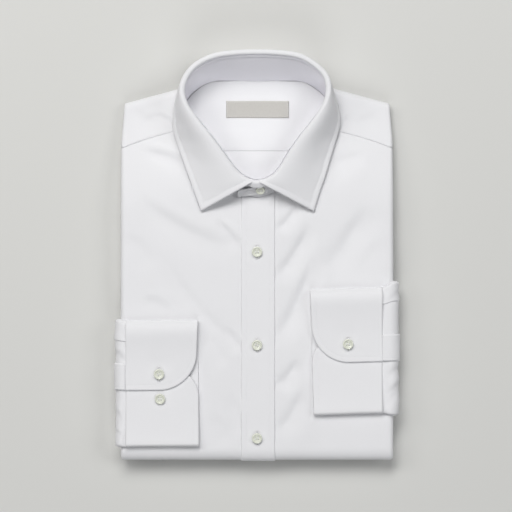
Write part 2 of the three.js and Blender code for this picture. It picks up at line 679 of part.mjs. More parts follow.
// Hidden layers: rounded block inside the bag, notched for the side folds and sleeves.
const coreDepth = CLOTH + CORE_CLEARANCE;
const coreReach = HALF_WIDTH - 3.2;
function coreLoop(x) {
  const place = flat(Math.max(-FLAT_HALF, Math.min(FLAT_HALF, x)));
  const rows = [...frontRows(x, yokeSeamY(x)), ...yokeRows(x, yokeSeamY(x)).slice(1)];
  return rows.map((b) => {
    const p = bagPoint(place, b, coreDepth);
    return vec(x, p.y, p.z);
  });
}
const coreColumns = [-coreReach, ...steps(-FLAT_HALF, FLAT_HALF, YOKE_COLUMNS), coreReach];
let core = loft(coreColumns.map(coreLoop));
const wholeRows = (x) => [...frontRows(x, yokeSeamY(x)), ...yokeRows(x, yokeSeamY(x)).slice(1)];
for (const side of [-1, 1]) {
  const places = sideFold(side, SIDE_SEGMENTS);
  const inner = { ...places[0], x: places[0].x - side * 0.01 };
  const end = { ...places[places.length - 1], inward: SIDE_RETURN + SEAM_GAP };
  const lip = [inner, ...places.slice(1, -1), end];
  core = core.subtract(bagSheet(lip, wholeRows, -SEAM_GAP, CLOTH + SEAM_GAP));
}
for (const cuff of CUFFS) {
  const inner = cuff.side * (FLAT_HALF - SLEEVE_REACH_IN - 0.6);
  const outer = cuff.side * (HALF_WIDTH + 2);
  const [x0, x1] = inner < outer ? [inner, outer] : [outer, inner];
  const middle = BODY_THICK / 2 - 0.1;
  const reach = SLEEVE_THICK / 2 + 1;
  const slot = box(x0, x1, cuff.bottomY - 5, cuff.topY + 9, middle - reach, middle + reach);
  core = core.subtract(slot);
}
const neckBack = neckOutline[32].y + 0.2;
const wellDepth = NECK_FLOOR_THICK + SEAM_GAP;
const neckFront = neckOutline[0].y - 1.5;
const well = neckPanel(neckFront, neckBack, 28, 1, () => 60, (y) => neckFloor(y) - wellDepth);
core = core.subtract(well);
const bodies = core.decompose().sort((a, b) => b.volume() - a.volume());
add('folded_layers', bodies[0], COTTON);

// Inside of the neck: back yoke lining above the seam, back panel below it, label on the lining.
const floorUnder = (y) => neckFloor(y) - NECK_FLOOR_THICK;
const liningStart = LINING_SEAM_Y + halfGap;
const lining = neckPanel(liningStart, NECK_FLOOR_END_Y, 16, -NECK_FLOOR_INSET, neckFloor, floorUnder);
add('yoke_lining', lining, LINING);
const backStart = neckOutline[0].y + 1;
const backPanel = neckPanel(backStart, LINING_SEAM_Y - halfGap, 12, -NECK_FLOOR_INSET, neckFloor, floorUnder);
add('back', backPanel, LINING);
const labelLayer = (rise) => steps(LABEL.y - LABEL.height / 2, LABEL.y + LABEL.height / 2, 4).map((y) => {
  return [-0.5, 0.5].map((k) => vec(LABEL.x + k * LABEL.width, y, neckFloor(y) + rise));
});
const labelBox = sheet(labelLayer(SEAM_GAP + 0.1 + LABEL.thick), labelLayer(SEAM_GAP + 0.1));
add('neck_label', labelBox, LABEL_CLOTH);

// Collar stand with its buttoned tab, and the leaf rolled over its top.
const standStations = steps(0, COLLAR_STATIONS, COLLAR_SAMPLES).slice(0, -1);
const standGrid = standStations.map((station) => standLine(station, steps(0, 1, 3)));
const inTab = (p) => p.y < 80 && p.x > TAB_START_X && p.x < TAB_END_X;
const standWall = (p, k) => COLLAR_WALL + (inTab(p) ? TAB_EXTRA * clamp01(2.4 * (1 - k)) : 0);
add('collar_stand', wallFrom(standGrid, standWall, true), COTTON);
const leafStations = steps(LEAF_START, LEAF_END, COLLAR_SAMPLES - 2);
const leafGrid = leafStations.map((station) => leafLine(station, 4, 6));
add('collar_leaf', wallFrom(leafGrid, () => COLLAR_WALL, false), COTTON);

// Sleeve ends round the sides, their plackets, and the cuffs on the fronts.
for (const cuff of CUFFS) {
  add(`${cuff.name}_sleeve`, sleeveEnd(cuff), COTTON);
  add(`${cuff.name}_gauntlet`, gauntlet(cuff), COTTON);
  add(`${cuff.name}_cuff`, cuffSolid(cuff), COTTON);
}

// Buttons.
const seat = BODY_THICK + PLACKET_RISE + SEAM_GAP;
FRONT_BUTTON_Y.forEach((y, i) => {
  const placed = button(BUTTON_R, BUTTON_THICK).translate([0, y, seat]);
  add(`button_front_${i + 1}`, placed, PEARL);
});
for (const { name, x, y, layer } of CUFF_BUTTONS) {
  const z = (layer === 2 ? flapZ : underlapZ) + CUFF_WALL / 2 + SEAM_GAP + 0.25;
  add(name, button(BUTTON_R, BUTTON_THICK).translate([x, y, z]), PEARL);
}
const tabFrame = collarFrame(23.7);
const tabMiddle = tabFrame.base.clone().lerp(tabFrame.seam, 0.5);
const tilt = THREE.MathUtils.radToDeg(Math.acos(tabFrame.out.z));
const away = COLLAR_WALL + TAB_EXTRA + 0.6;
const spot = tabMiddle.addScaledVector(tabFrame.out, away);
const collarButton = button(4.3, BUTTON_THICK).rotate([tilt, 0, 0]).translate([spot.x, spot.y, spot.z]);
add('button_collar', collarButton, PEARL);

export default shirt;
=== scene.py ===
"""Folded dress shirt: thin cloth pieces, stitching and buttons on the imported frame, with a soft studio stage."""

import math

import bmesh
import bpy
import numpy as np
from mathutils import Matrix, Vector


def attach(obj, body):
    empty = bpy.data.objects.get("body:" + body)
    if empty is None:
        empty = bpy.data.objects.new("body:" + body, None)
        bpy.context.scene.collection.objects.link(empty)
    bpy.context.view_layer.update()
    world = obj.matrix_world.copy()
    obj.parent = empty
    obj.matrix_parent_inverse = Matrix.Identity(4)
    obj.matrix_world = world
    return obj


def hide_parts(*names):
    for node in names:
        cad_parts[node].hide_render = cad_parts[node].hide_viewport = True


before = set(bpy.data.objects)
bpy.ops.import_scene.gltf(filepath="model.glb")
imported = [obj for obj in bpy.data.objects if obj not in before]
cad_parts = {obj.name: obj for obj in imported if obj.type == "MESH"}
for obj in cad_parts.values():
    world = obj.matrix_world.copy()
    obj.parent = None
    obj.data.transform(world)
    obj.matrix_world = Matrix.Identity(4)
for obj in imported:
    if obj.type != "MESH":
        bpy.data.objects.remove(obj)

bl_info = {
    "name": "Folded Dress Shirt",
    "version": (1, 0, 0),
    "blender": (4, 5, 0),
    "location": "View3D > Sidebar > Shirt",
    "description": "Builds the cloth, stitching, buttons and stage of a folded dress shirt",
    "category": "Add Mesh",
}


# ---------------------------------------------------------------------------
# Settings
# ---------------------------------------------------------------------------


def length(name, default, description):
    return bpy.props.FloatProperty(
        name=name, default=default, description=description, unit="LENGTH", precision=5
    )


def tone(name, default, description):
    return bpy.props.FloatVectorProperty(
        name=name, default=default, description=description, subtype="COLOR", size=3, min=0, max=1
    )


class ShirtBodySettings(bpy.types.PropertyGroup):
    half_width: length("Half width", 0.1296, "Half of the folded body's width")
    narrowing: length("Narrowing", 0.0026, "How far each side draws in at the shoulder")
    bottom: length("Bottom", -0.1936, "Y of the bottom fold's outermost line")
    thickness: length("Thickness", 0.024, "Height of the folded body")
    bottom_reach: length("Bottom reach", 0.012, "How far the bottom fold reaches past the flat front")
    bottom_height: length("Bottom height", 0.0165, "Height of the bottom fold's outermost line")
    shoulder_radius: length("Shoulder radius", 0.006, "Radius of the fold at the shoulder")
    shoulder_ramp: length("Shoulder ramp", 0.1, "Length over which the body thins to the shoulder")
    shoulder_apex: length("Shoulder apex", 0.181, "Y where both shoulder lines would meet")
    neck_rise: length("Neck rise", 0.0035, "How far the shoulder line lifts beside the neck")
    neck_back: length("Neck back", 0.175, "Y of the back fold behind the neck")
    side_radius: length("Side radius", 0.0049, "Radius of the folded sides")
    side_radius_shoulder: length("Side radius at shoulder", 0.0025, "Radius of the sides at the shoulder")
    side_return: length("Side return", 0.006, "How far the side folds turn in")
    tail_hem: length("Tail hem", 0.085, "Y where the tail ends on the underside")
    back_yoke_end: length("Back yoke end", 0.095, "Y where the back yoke ends on the underside")
    cloth: length("Cloth", 0.0005, "Thickness of one layer of shirting")
    step: length("Mesh step", 0.0016, "Spacing of the cloth mesh on the front")


class ShirtPlacketSettings(bpy.types.PropertyGroup):
    left: length("Left edge", -0.0152, "X of the placket's free edge")
    right: length("Right edge", 0.0171, "X of the placket's sewn edge")
    rise: length("Rise", 0.0005, "How far the placket stands over the fronts at its sewn edge")
    rise_free: length("Free edge rise", 0.0002, "The same at its free edge")
    thickness: length("Thickness", 0.0007, "Thickness of the folded and fused strip")
    fold_rise: length("Fold rise", 0.0009, "How far the strip stands past the fronts at the bottom fold")
    stitch_inset: length("Stitch inset", 0.0055, "Distance of its stitching from each edge")


class ShirtCollarSettings(bpy.types.PropertyGroup):
    wall: length("Wall", 0.0012, "Thickness of the fused collar layers")
    roll_radius: length("Roll radius", 0.0028, "Radius of the collar's rolled top")
    seam_drop: length("Seam drop", 0.0045, "How far inside the roll the stand is sewn on")
    seam_drop_front: length("Front seam drop", 0.0008, "The same at the centre front")
    stitch_inset: length("Stitch inset", 0.0058, "Distance of the topstitching from the edge")
    margin_curl: length("Margin curl", 0.0007, "How far the stitched edge lifts off the leaf's slope")
    samples: bpy.props.IntProperty(name="Samples", default=300, description="Mesh columns round the neck")


class ShirtCuffSettings(bpy.types.PropertyGroup):
    wall: length("Wall", 0.0011, "Thickness of the fused cuff")
    layer: length("Layer", 0.00162, "Height from one cuff layer to the next")
    flap_radius: length("Flap radius", 0.034, "Radius of the flap's rounded corner")
    top_puff: length("Top puff", 0.0030, "How far the top fold stands up")
    top_crest: length("Top crest", 0.0085, "Distance of that fold's crest from the edge")
    bottom_puff: length("Bottom puff", 0.0034, "How far the bottom fold stands up")
    puff_length: length("Puff length", 0.02, "Distance over which a fold flattens out")
    stitch_inset: length("Stitch inset", 0.005, "Distance of the topstitching from the edge")
    sleeve_thick: length("Sleeve thickness", 0.0042, "Height of the flattened sleeve")
    sleeve_reach: length("Sleeve reach", 0.012, "How far the sleeve runs into the body")
    sleeve_bend: length("Sleeve bend", 0.0076, "Radius of the sleeve's turn round the side")
    gauntlet_width: length("Gauntlet width", 0.0245, "Width of the sleeve placket")


class ShirtButtonSettings(bpy.types.PropertyGroup):
    radius: length("Radius", 0.005, "Radius of a front or cuff button")
    thickness: length("Thickness", 0.0023, "Thickness of a button")
    hole_radius: length("Hole radius", 0.00042, "Radius of a sewing hole")
    hole_pitch: length("Hole pitch", 0.00115, "Distance of a hole from the middle, along X and Y")
    buttonhole: length("Buttonhole", 0.0135, "Length of a buttonhole")


class ShirtStitchSettings(bpy.types.PropertyGroup):
    length: length("Length", 0.0016, "Length of the thread that shows in one stitch")
    pitch: length("Pitch", 0.0022, "Distance from stitch to stitch")
    thread: length("Thread", 0.00028, "Thickness of the thread")


class ShirtStageSettings(bpy.types.PropertyGroup):
    camera_height: length("Camera height", 1.7, "Height of the camera over the table")
    frame_width: length("Frame width", 0.4864, "Width seen at the front's height")
    focus_height: length("Focus height", 0.022, "Height at which the frame width is measured")
    floor_size: length("Floor size", 6.0, "Side of the floor")


class ShirtColorSettings(bpy.types.PropertyGroup):
    cotton: tone("Cotton", (0.83, 0.83, 0.85), "Colour of the shirting")
    # The collar's inner side is set lighter than the cotton and cooler: the lightening is painted light that lifts
    # the shade inside the collar.
    inside: tone("Inside", (0.95, 0.94, 0.99), "Colour of the collar's inner side")
    label: tone("Label", (0.535, 0.52, 0.49), "Colour of the bare neck label")
    pearl: tone("Pearl", (0.76, 0.78, 0.68), "Colour of the buttons")
    thread: tone("Thread", (0.8, 0.8, 0.82), "Colour of the sewing thread")
    floor: tone("Floor", (0.675, 0.675, 0.655), "Colour of the floor")


# ---------------------------------------------------------------------------
# Small maths
# ---------------------------------------------------------------------------


def lerp(a, b, k):
    return a + (b - a) * k


def smooth(k):
    k = np.clip(k, 0.0, 1.0)
    return k * k * (3 - 2 * k)


def unit(v):
    return v / np.maximum(np.linalg.norm(v, axis=-1, keepdims=True), 1e-12)


def stack(x, y, z):
    return np.stack(np.broadcast_arrays(x, y, z), axis=-1).astype(float)


class Spline:
    """Centripetal curve through points; the parameter counts the points."""

    def __init__(self, points, closed):
        self.closed = closed
        p = np.array(points, float)
        if closed:
            self.padded = np.vstack([p[-1:], p, p[:2]])
        else:
            self.padded = np.vstack([2 * p[:1] - p[1:2], p, 2 * p[-1:] - p[-2:-1]])
        self.spans = len(p) if closed else len(p) - 1

    def at(self, stations):
        s = np.asarray(stations, float)
        s = np.mod(s, self.spans) if self.closed else np.clip(s, 0, self.spans - 1e-9)
        i = np.minimum(s.astype(int), self.spans - 1)
        t = (s - i)[..., None]
        p0, p1, p2, p3 = (self.padded[i + k] for k in range(4))

        def gap(a, b):
            return np.maximum(np.sum((b - a) ** 2, axis=-1, keepdims=True) ** 0.25, 1e-6)

        d0, d1, d2 = gap(p0, p1), gap(p1, p2), gap(p2, p3)
        t1 = ((p1 - p0) / d0 - (p2 - p0) / (d0 + d1) + (p2 - p1) / d1) * d1
        t2 = ((p2 - p1) / d1 - (p3 - p1) / (d1 + d2) + (p3 - p2) / d2) * d1
        c2 = -3 * p1 + 3 * p2 - 2 * t1 - t2
        c3 = 2 * p1 - 2 * p2 + t1 + t2
        return p1 + t1 * t + c2 * t**2 + c3 * t**3

    def tangent(self, stations):
        e = 1e-3
        return unit(self.at(np.asarray(stations) + e) - self.at(np.asarray(stations) - e))


# ---------------------------------------------------------------------------
# Creases: soft troughs with a ridge beside them, each placed one by one
# ---------------------------------------------------------------------------

# x0, y0 to x1, y1 is the trough's line, bow its sideways sag, width and depth its size,
# ridge the share of the depth that stands up beside it (negative: on the other side).
FRONT_CREASES = [
    # x0, y0, x1, y1, bow, width, depth, ridge
    (0.0380, 0.0490, 0.0190, 0.0240, 0.0020, 0.0036, 0.00176, 0.45),
    (0.0490, 0.0260, 0.0190, -0.0220, 0.0020, 0.0050, 0.00257, 0.45),
    (0.0530, -0.0040, 0.0200, -0.0800, 0.0030, 0.0058, 0.00297, 0.4),
    (0.0390, -0.0990, 0.0190, -0.1250, 0.0020, 0.0050, 0.00243, 0.4),
    (0.0440, -0.1250, 0.0200, -0.1680, 0.0030, 0.0052, 0.00203, 0.4),
    (0.1040, 0.0420, 0.0680, -0.0160, 0.0, 0.0086, 0.00297, 0.3),
    (0.1200, 0.0150, 0.0980, -0.0240, -0.0030, 0.0070, 0.00104, 0.3),
    (-0.1080, 0.0520, -0.0210, 0.0060, -0.0060, 0.0066, 0.00143, 0.4),
    (-0.0380, 0.0330, -0.0180, 0.0080, 0.0010, 0.0040, 0.00130, 0.5),
    (-0.0880, -0.0040, -0.0210, -0.0850, -0.0050, 0.0070, 0.00156, -0.4),
    (-0.0300, -0.0680, -0.0170, -0.0910, 0.0010, 0.0042, 0.00104, 0.4),
    (-0.0500, -0.0740, -0.0300, -0.1040, 0.0020, 0.0056, 0.00091, 0.4),
    (-0.1080, -0.0410, -0.0800, -0.0560, 0.0020, 0.0060, 0.00104, 0.4),
    (-0.0240, -0.1310, -0.0175, -0.1720, 0.0015, 0.0042, 0.00104, 0.5),
    (-0.0420, -0.1500, -0.0300, -0.1800, 0.0020, 0.0060, 0.00078, 0.3),
    (-0.1080, 0.1000, -0.0680, 0.0860, 0.0015, 0.0046, 0.00169, 0.5),
    (0.1020, 0.0960, 0.0690, 0.0860, -0.0010, 0.0056, 0.00130, 0.4),
    (-0.1240, 0.0200, -0.1000, -0.0100, 0.0020, 0.0070, 0.00078, 0.3),
]
YOKE_CREASES = [
    (-0.0920, 0.1360, -0.0760, 0.1190, 0.0012, 0.0024, 0.00110, 0.6),
    (-0.1060, 0.1300, -0.0900, 0.1340, 0.0010, 0.0030, 0.00060, 0.5),
    (0.0730, 0.1210, 0.0890, 0.1350, -0.0012, 0.0028, 0.00100, 0.6),
    (0.0960, 0.1270, 0.1160, 0.1330, 0.0010, 0.0044, 0.00060, 0.4),
    (-0.1180, 0.1400, -0.1040, 0.1230, 0.0010, 0.0050, 0.00050, 0.4),
]
UNDER_CREASES = [
    (0.0700, 0.0500, 0.0300, -0.0500, 0.0040, 0.0060, 0.00060, 0.0),
    (-0.0900, 0.0200, -0.0300, -0.0800, -0.0050, 0.0070, 0.00070, 0.0),
    (0.1000, -0.0600, 0.0400, -0.1400, 0.0050, 0.0060, 0.00055, 0.0),
    (-0.0600, 0.1300, 0.0500, 0.1180, 0.0030, 0.0060, 0.00050, 0.0),
    (-0.1000, -0.1100, -0.0500, -0.1600, 0.0030, 0.0060, 0.00050, 0.0),
]


# How much gentler the wall of a crease is towards the bottom of the shirt.
LIT_WALL = 1.9


def crease_field(x, y, rows):
    """Height of the cloth over its smooth form at each point, in metres."""
    total = np.zeros(np.broadcast(x, y).shape)
    for x0, y0, x1, y1, bow, width, depth, ridge in rows:
        dx, dy = x1 - x0, y1 - y0
        size = math.hypot(dx, dy)
        ux, uy = dx / size, dy / size
        t = ((x - x0) * ux + (y - y0) * uy) / size
        side = -(x - x0) * uy + (y - y0) * ux
        side = side - bow * 4 * t * (1 - t)
        spread = width * (0.75 + 0.5 * np.clip(t, 0, 1))
        spread = spread * np.where(side * ux < 0, LIT_WALL, 1.0)
        along = smooth((t + 0.12) / 0.45) * smooth((1.1 - t) / 0.4)
        trough = -np.exp(-((side / spread) ** 2))
        lift = ridge * np.exp(-(((side - math.copysign(1.7, ridge) * spread) / spread) ** 2))
        total += depth * along * (trough + abs(lift))
    return total


def undulation(x, y, size):
    """Faint long waves, so that no pressed panel is perfectly flat."""
    a = np.sin(47 * x + 31 * y + 0.7) * np.sin(23 * y - 19 * x + 1.9)
    b = np.sin(71 * x - 53 * y + 2.3) * np.sin(38 * x + 61 * y)
    return size * (0.65 * a + 0.35 * b)


# ---------------------------------------------------------------------------
# The folded body: one bag of cloth that the panels are cut from
# ---------------------------------------------------------------------------

SEAM_PEAK_Y = 0.1257
SEAM_PEAK_X = 0.02
SEAM_BEND = 1.98
SHOULDER_SLOPE = 0.27
FRONT_LENGTH = 0.31
# The cut edge at the neck: half width, then y there.
NECK_FRONT = [
    (0, 0.057), (0.012, 0.06), (0.025, 0.0665), (0.037, 0.0765),
    (0.049, 0.0885), (0.06, 0.101), (0.068, 0.116), (0.072, 0.130),
]
NECK_BACK = [
    (0, 0.1672), (0.02, 0.1676), (0.044, 0.1665), (0.059, 0.158),
    (0.069, 0.146), (0.0715, 0.132), (0.074, 0.100),
]
# The floor of the neck opening: its depth under the front, and its lift towards the back.
NECK_FLOOR_DEPTH = 0.0036
NECK_FLOOR_LIFT = 0.0045
NECK_FLOOR_LIFT_Y = 0.12
NECK_FLOOR_LIFT_LENGTH = 0.048


def seam_y(x):
    out = np.maximum(0, np.abs(x) - SEAM_PEAK_X)
    return SEAM_PEAK_Y - SEAM_BEND * out * out


def table_y(x, rows):
    xs, ys = zip(*rows)
    return np.interp(np.abs(x), xs, ys)


def shoulder_line(s, x):
    rise = s.neck_rise * smooth((0.08 - np.abs(x)) / 0.04)
    slanted = s.shoulder_apex - SHOULDER_SLOPE * np.abs(x) + rise
    half = (slanted - s.neck_back) / 2
    return (slanted + s.neck_back) / 2 - np.sqrt(half * half + 1e-6)


def top_height(s, x, y):
    k = smooth((shoulder_line(s, x) - s.shoulder_radius - y) / s.shoulder_ramp)
    return lerp(2 * s.shoulder_radius, s.thickness, k)


def neck_floor(s, y):
    """Height of the inside of the back seen through the neck; it rises to the seam behind the collar."""
    lift = NECK_FLOOR_LIFT * smooth((y - NECK_FLOOR_LIFT_Y) / NECK_FLOOR_LIFT_LENGTH)
    return top_height(s, 0.0, y) - NECK_FLOOR_DEPTH + lift


def profile(s, b, x):
    """Lengthwise: 0-1 tail, 1-2 bottom fold, 2-3 front, 3-4 shoulder fold, 4-5 back yoke underneath."""
    small = s.shoulder_radius
    y_bottom = s.bottom + s.bottom_reach
    y_top = shoulder_line(s, x) - small
    zero = np.zeros(np.broadcast(b, x).shape)
    conditions = [b <= 1, b <= 2, b <= 3, b <= 4, b > 4]
    turn2 = -math.pi / 2 - math.pi * (b - 1)
    rise2 = np.sin(turn2)
    half2 = np.where(rise2 < 0, s.bottom_height, s.thickness - s.bottom_height)
    ny2, nz2 = np.cos(turn2) / s.bottom_reach, rise2 / half2
    norm2 = np.hypot(ny2, nz2)
    turn4 = math.pi / 2 - math.pi * (b - 3)
    y3 = lerp(y_bottom, y_top, b - 2)
    z3 = top_height(s, x, y3)
    e = 0.0005
    slope = (top_height(s, x, y3 + e) - top_height(s, x, y3 - e)) / (2 * e)
    norm = np.hypot(slope, 1)
    k3 = smooth((y_top - y3) / s.shoulder_ramp)
    y = np.select(
        conditions,
        [
            lerp(s.tail_hem, y_bottom, b) + zero,
            y_bottom + s.bottom_reach * np.cos(turn2) + zero,
            y3 + zero,
            y_top + small * np.cos(turn4) + zero,
            lerp(y_top, s.back_yoke_end, b - 4) + zero,
        ],
    )
    z2 = s.bottom_height + half2 * rise2
    z = np.select(conditions, [zero, z2 + zero, z3 + zero, small * (1 + np.sin(turn4)) + zero, zero])
    ny = np.select(conditions, [zero, ny2 / norm2 + zero, -slope / norm + zero, np.cos(turn4) + zero, zero])
    nz = np.select(conditions, [zero - 1, nz2 / norm2 + zero, 1 / norm + zero, np.sin(turn4) + zero, zero - 1])
    r3 = lerp(s.side_radius_shoulder, s.side_radius, k3)
    r2 = s.side_radius - 0.0018 * np.abs(np.cos(turn2))
    shoulder = zero + s.side_radius_shoulder
    r = np.select(conditions, [zero + s.side_radius, r2 + zero, r3 + zero, shoulder, shoulder])
    return y, z, ny, nz, r


def front_parameter(s, x, y):
    y_bottom = s.bottom + s.bottom_reach
    return 2 + (y - y_bottom) / (shoulder_line(s, x) - s.shoulder_radius - y_bottom)


def bag(s, places, b, lift=0.0):
    """Points of the bag. places has x, side, turn and inward in its columns, one row per mesh column."""
    x, side, turn, inward = (places[:, k : k + 1] for k in range(4))
    y, z, ny, nz, r = profile(s, b, x)
    narrow = s.narrowing * smooth((y - 0.104) / 0.045)
    scale = (s.half_width - narrow - r) / (s.half_width - s.side_radius)
    radius = r + lift
    px = x * scale + side * (radius * np.sin(turn) - inward)
    down = r - radius * np.cos(turn)
    return stack(px, y - ny * down, z - nz * down)


def flat_places(xs):
    return np.array([(x, math.copysign(1, x), 0.0, 0.0) for x in xs])


def side_places(s, side, segments=14):
    edge = side * (s.half_width - s.side_radius)
    rows = [(edge, side, math.pi * k / segments, 0.0) for k in range(segments + 1)]
    rows += [(edge, side, math.pi, s.side_return * k / 3) for k in (1, 2, 3)]
    return np.array(rows)


def spaced(a, b, step):
    n = max(2, int(math.ceil(abs(b - a) / step)))
    return np.linspace(a, b, n + 1)


def front_rows(s, x, top):
    """Row parameters for columns at x whose cloth ends at y = top on the front."""
    tail = np.linspace(0, 1, 46)
    fold = np.linspace(1, 2, 19)[1:]
    ends = front_parameter(s, x, top)
    count = int(FRONT_LENGTH / s.step)
    front = 2 + (ends[:, None] - 2) * np.linspace(0, 1, count + 1)[None, 1:]
    fixed = np.broadcast_to(np.concatenate([tail, fold]), (len(x), len(tail) + len(fold)))
    return np.concatenate([fixed, front], axis=1)


def yoke_rows(s, x, start):
    begins = front_parameter(s, x, start)
    upper = begins[:, None] + (3 - begins[:, None]) * np.linspace(0, 1, 34)[None, :]
    rest = np.concatenate([np.linspace(3, 4, 13)[1:], np.linspace(4, 5, 22)[1:]])
    return np.concatenate([upper, np.broadcast_to(rest, (len(x), len(rest)))], axis=1)


def body_lift(s, points, b, turn, rows):
    """Creases on the front and underside; the underside only ever sinks, so it lies flat."""
    x, y = points[..., 0], points[..., 1]
    on_top = smooth((b - 1.75) / 0.3) * smooth((3.3 - b) / 0.4) * (np.cos(turn) * 0.5 + 0.5)
    under = np.where((b < 1) | (b > 4), 1.0, 0.0) * (np.cos(turn) * 0.5 + 0.5)
    top = crease_field(x, y, rows) + undulation(x, y, 0.0003)
    low = np.minimum(0, crease_field(x, y, UNDER_CREASES) + undulation(x, y, 0.0001) - 0.0001)
    return on_top * top + under * low


# ---------------------------------------------------------------------------
# Meshes
# ---------------------------------------------------------------------------


def grid_normals(grid, ring):
    if ring:
        du = np.roll(grid, -1, axis=0) - np.roll(grid, 1, axis=0)
    else:
        du = np.gradient(grid, axis=0)
    dv = np.gradient(grid, axis=1)
    return unit(np.cross(du, dv))


def arc_lengths(grid, axis):
    step = np.linalg.norm(np.diff(grid, axis=axis), axis=-1)
    shape = list(grid.shape[:2])
    shape[axis] = 1
    return np.concatenate([np.zeros(shape), np.cumsum(step, axis=axis)], axis=axis)


def make_mesh(name, points, faces, uvs, material):
    """One mesh from points, quads and one uv per point, with its normals outward."""
    points = np.asarray(points, float)
    faces = np.asarray(faces, int)
    a, b, c, d = (points[faces[:, k]] for k in range(4))
    volume = np.sum(a * np.cross(b, c)) + np.sum(a * np.cross(c, d))
    if volume < 0:
        faces = faces[:, ::-1]
    mesh = bpy.data.meshes.new(name)
    mesh.from_pydata([tuple(p) for p in points], [], [tuple(map(int, f)) for f in faces])
    layer = mesh.uv_layers.new(name="UVMap")
    loops = np.zeros(len(mesh.loops), int)
    mesh.loops.foreach_get("vertex_index", loops)
    layer.data.foreach_set("uv", np.asarray(uvs, float)[loops].ravel())
    smooth_faces(mesh)
    mesh.materials.append(material)
    mesh.validate()
    return place_object(name, mesh)


def shell_arrays(grid, thickness, ring=False, facing=1, uv=None):
    """Points, faces and uvs of a thin cloth wall behind the visible surface grid."""
    rows, cols = grid.shape[:2]
    normals = grid_normals(grid, ring) * facing
    thick = np.broadcast_to(np.asarray(thickness, float), (rows, cols))[..., None]
    inner = grid - normals * thick
    if uv is None:
        uv = np.stack([arc_lengths(grid, 0), arc_lengths(grid, 1)], axis=-1)
    index = np.arange(rows * cols).reshape(rows, cols)
    if ring:
        index = np.vstack([index, index[:1]])
    a, b, c, d = index[:-1, :-1], index[1:, :-1], index[1:, 1:], index[:-1, 1:]
    top = np.stack([a, b, c, d], axis=-1).reshape(-1, 4)
    n = rows * cols
    low = top[:, ::-1] + n

    def rim(line, flip):
        p, q = line[:-1], line[1:]
        quad = np.stack([p, q, q + n, p + n], axis=-1)
        return quad[:, ::-1] if flip else quad

    rims = [rim(index[:, 0], True), rim(index[:, -1], False)]
    if not ring:
        rims += [rim(index[0, :], False), rim(index[-1, :], True)]
    points = np.concatenate([grid.reshape(-1, 3), inner.reshape(-1, 3)])
    uvs = np.concatenate([uv.reshape(-1, 2)] * 2)
    return points, np.concatenate([top, low, *rims]), uvs


def shell(name, grid, thickness, material, ring=False, facing=1, uv=None):
    points, faces, uvs = shell_arrays(grid, thickness, ring, facing, uv)
    return make_mesh(name, points, faces, uvs, material)


def joined(name, arrays, material):
    """One object from several (points, faces, uvs)."""
    points, faces, uvs, start = [], [], [], 0
    for p, f, u in arrays:
        points.append(p)
        faces.append(np.asarray(f) + start)
        uvs.append(u)
        start += len(p)
    return make_mesh(name, np.concatenate(points), np.concatenate(faces), np.concatenate(uvs), material)


def wrapped_faces(index):
    """Quads between rows of points whose columns close into rings."""
    following = np.roll(index, -1, axis=1)
    return np.stack([index[:-1], following[:-1], following[1:], index[1:]], axis=-1).reshape(-1, 4)


def place_object(name, data):
    obj = bpy.data.objects.new(name, data)
    bpy.context.scene.collection.objects.link(obj)
    return obj


def smooth_faces(mesh):
    mesh.polygons.foreach_set("use_smooth", np.ones(len(mesh.polygons), bool))


def mark_inner_side(obj, inner):
    """Say which points lie on the collar's inner side, for the cotton's lighter, cooler tone there; the lightening
    is painted light that lifts the shade inside the collar.
    """
    layer = obj.data.attributes.new("inner_side", "FLOAT", "POINT")
    layer.data.foreach_set("value", inner)


def finish_piece(obj, nodes=()):
    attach(obj, "root")
    if nodes:
        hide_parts(*nodes)
    return obj


# ---------------------------------------------------------------------------
# Materials
# ---------------------------------------------------------------------------


class Signal:
    """A shader socket that does arithmetic."""

    def __init__(self, tree, socket):
        self.tree, self.socket = tree, socket

    def plug(self, socket):
        self.tree.links.new(self.socket, socket)

    def math(self, operation, *values):
        node = self.tree.nodes.new("ShaderNodeMath")
        node.operation = operation
        for socket, value in zip(node.inputs, values):
            feed(socket, value)
        return Signal(self.tree, node.outputs[0])

    def __add__(self, other):
        return self.math("ADD", self, other)

    __radd__ = __add__

    def __sub__(self, other):
        return self.math("SUBTRACT", self, other)

    def __rsub__(self, other):
        return self.math("SUBTRACT", other, self)

    def __mul__(self, other):
        return self.math("MULTIPLY", self, other)

    __rmul__ = __mul__

    def sin(self):
        return self.math("SINE", self)

    def clamp(self):
        return self.math("MINIMUM", self.math("MAXIMUM", self, 0.0), 1.0)


def feed(socket, value):
    """Give a socket a signal or a plain value."""
    if isinstance(value, Signal):
        value.plug(socket)
    else:
        socket.default_value = value


MIX_COLOR_A, MIX_COLOR_B, MIX_COLOR_RESULT = 6, 7, 2


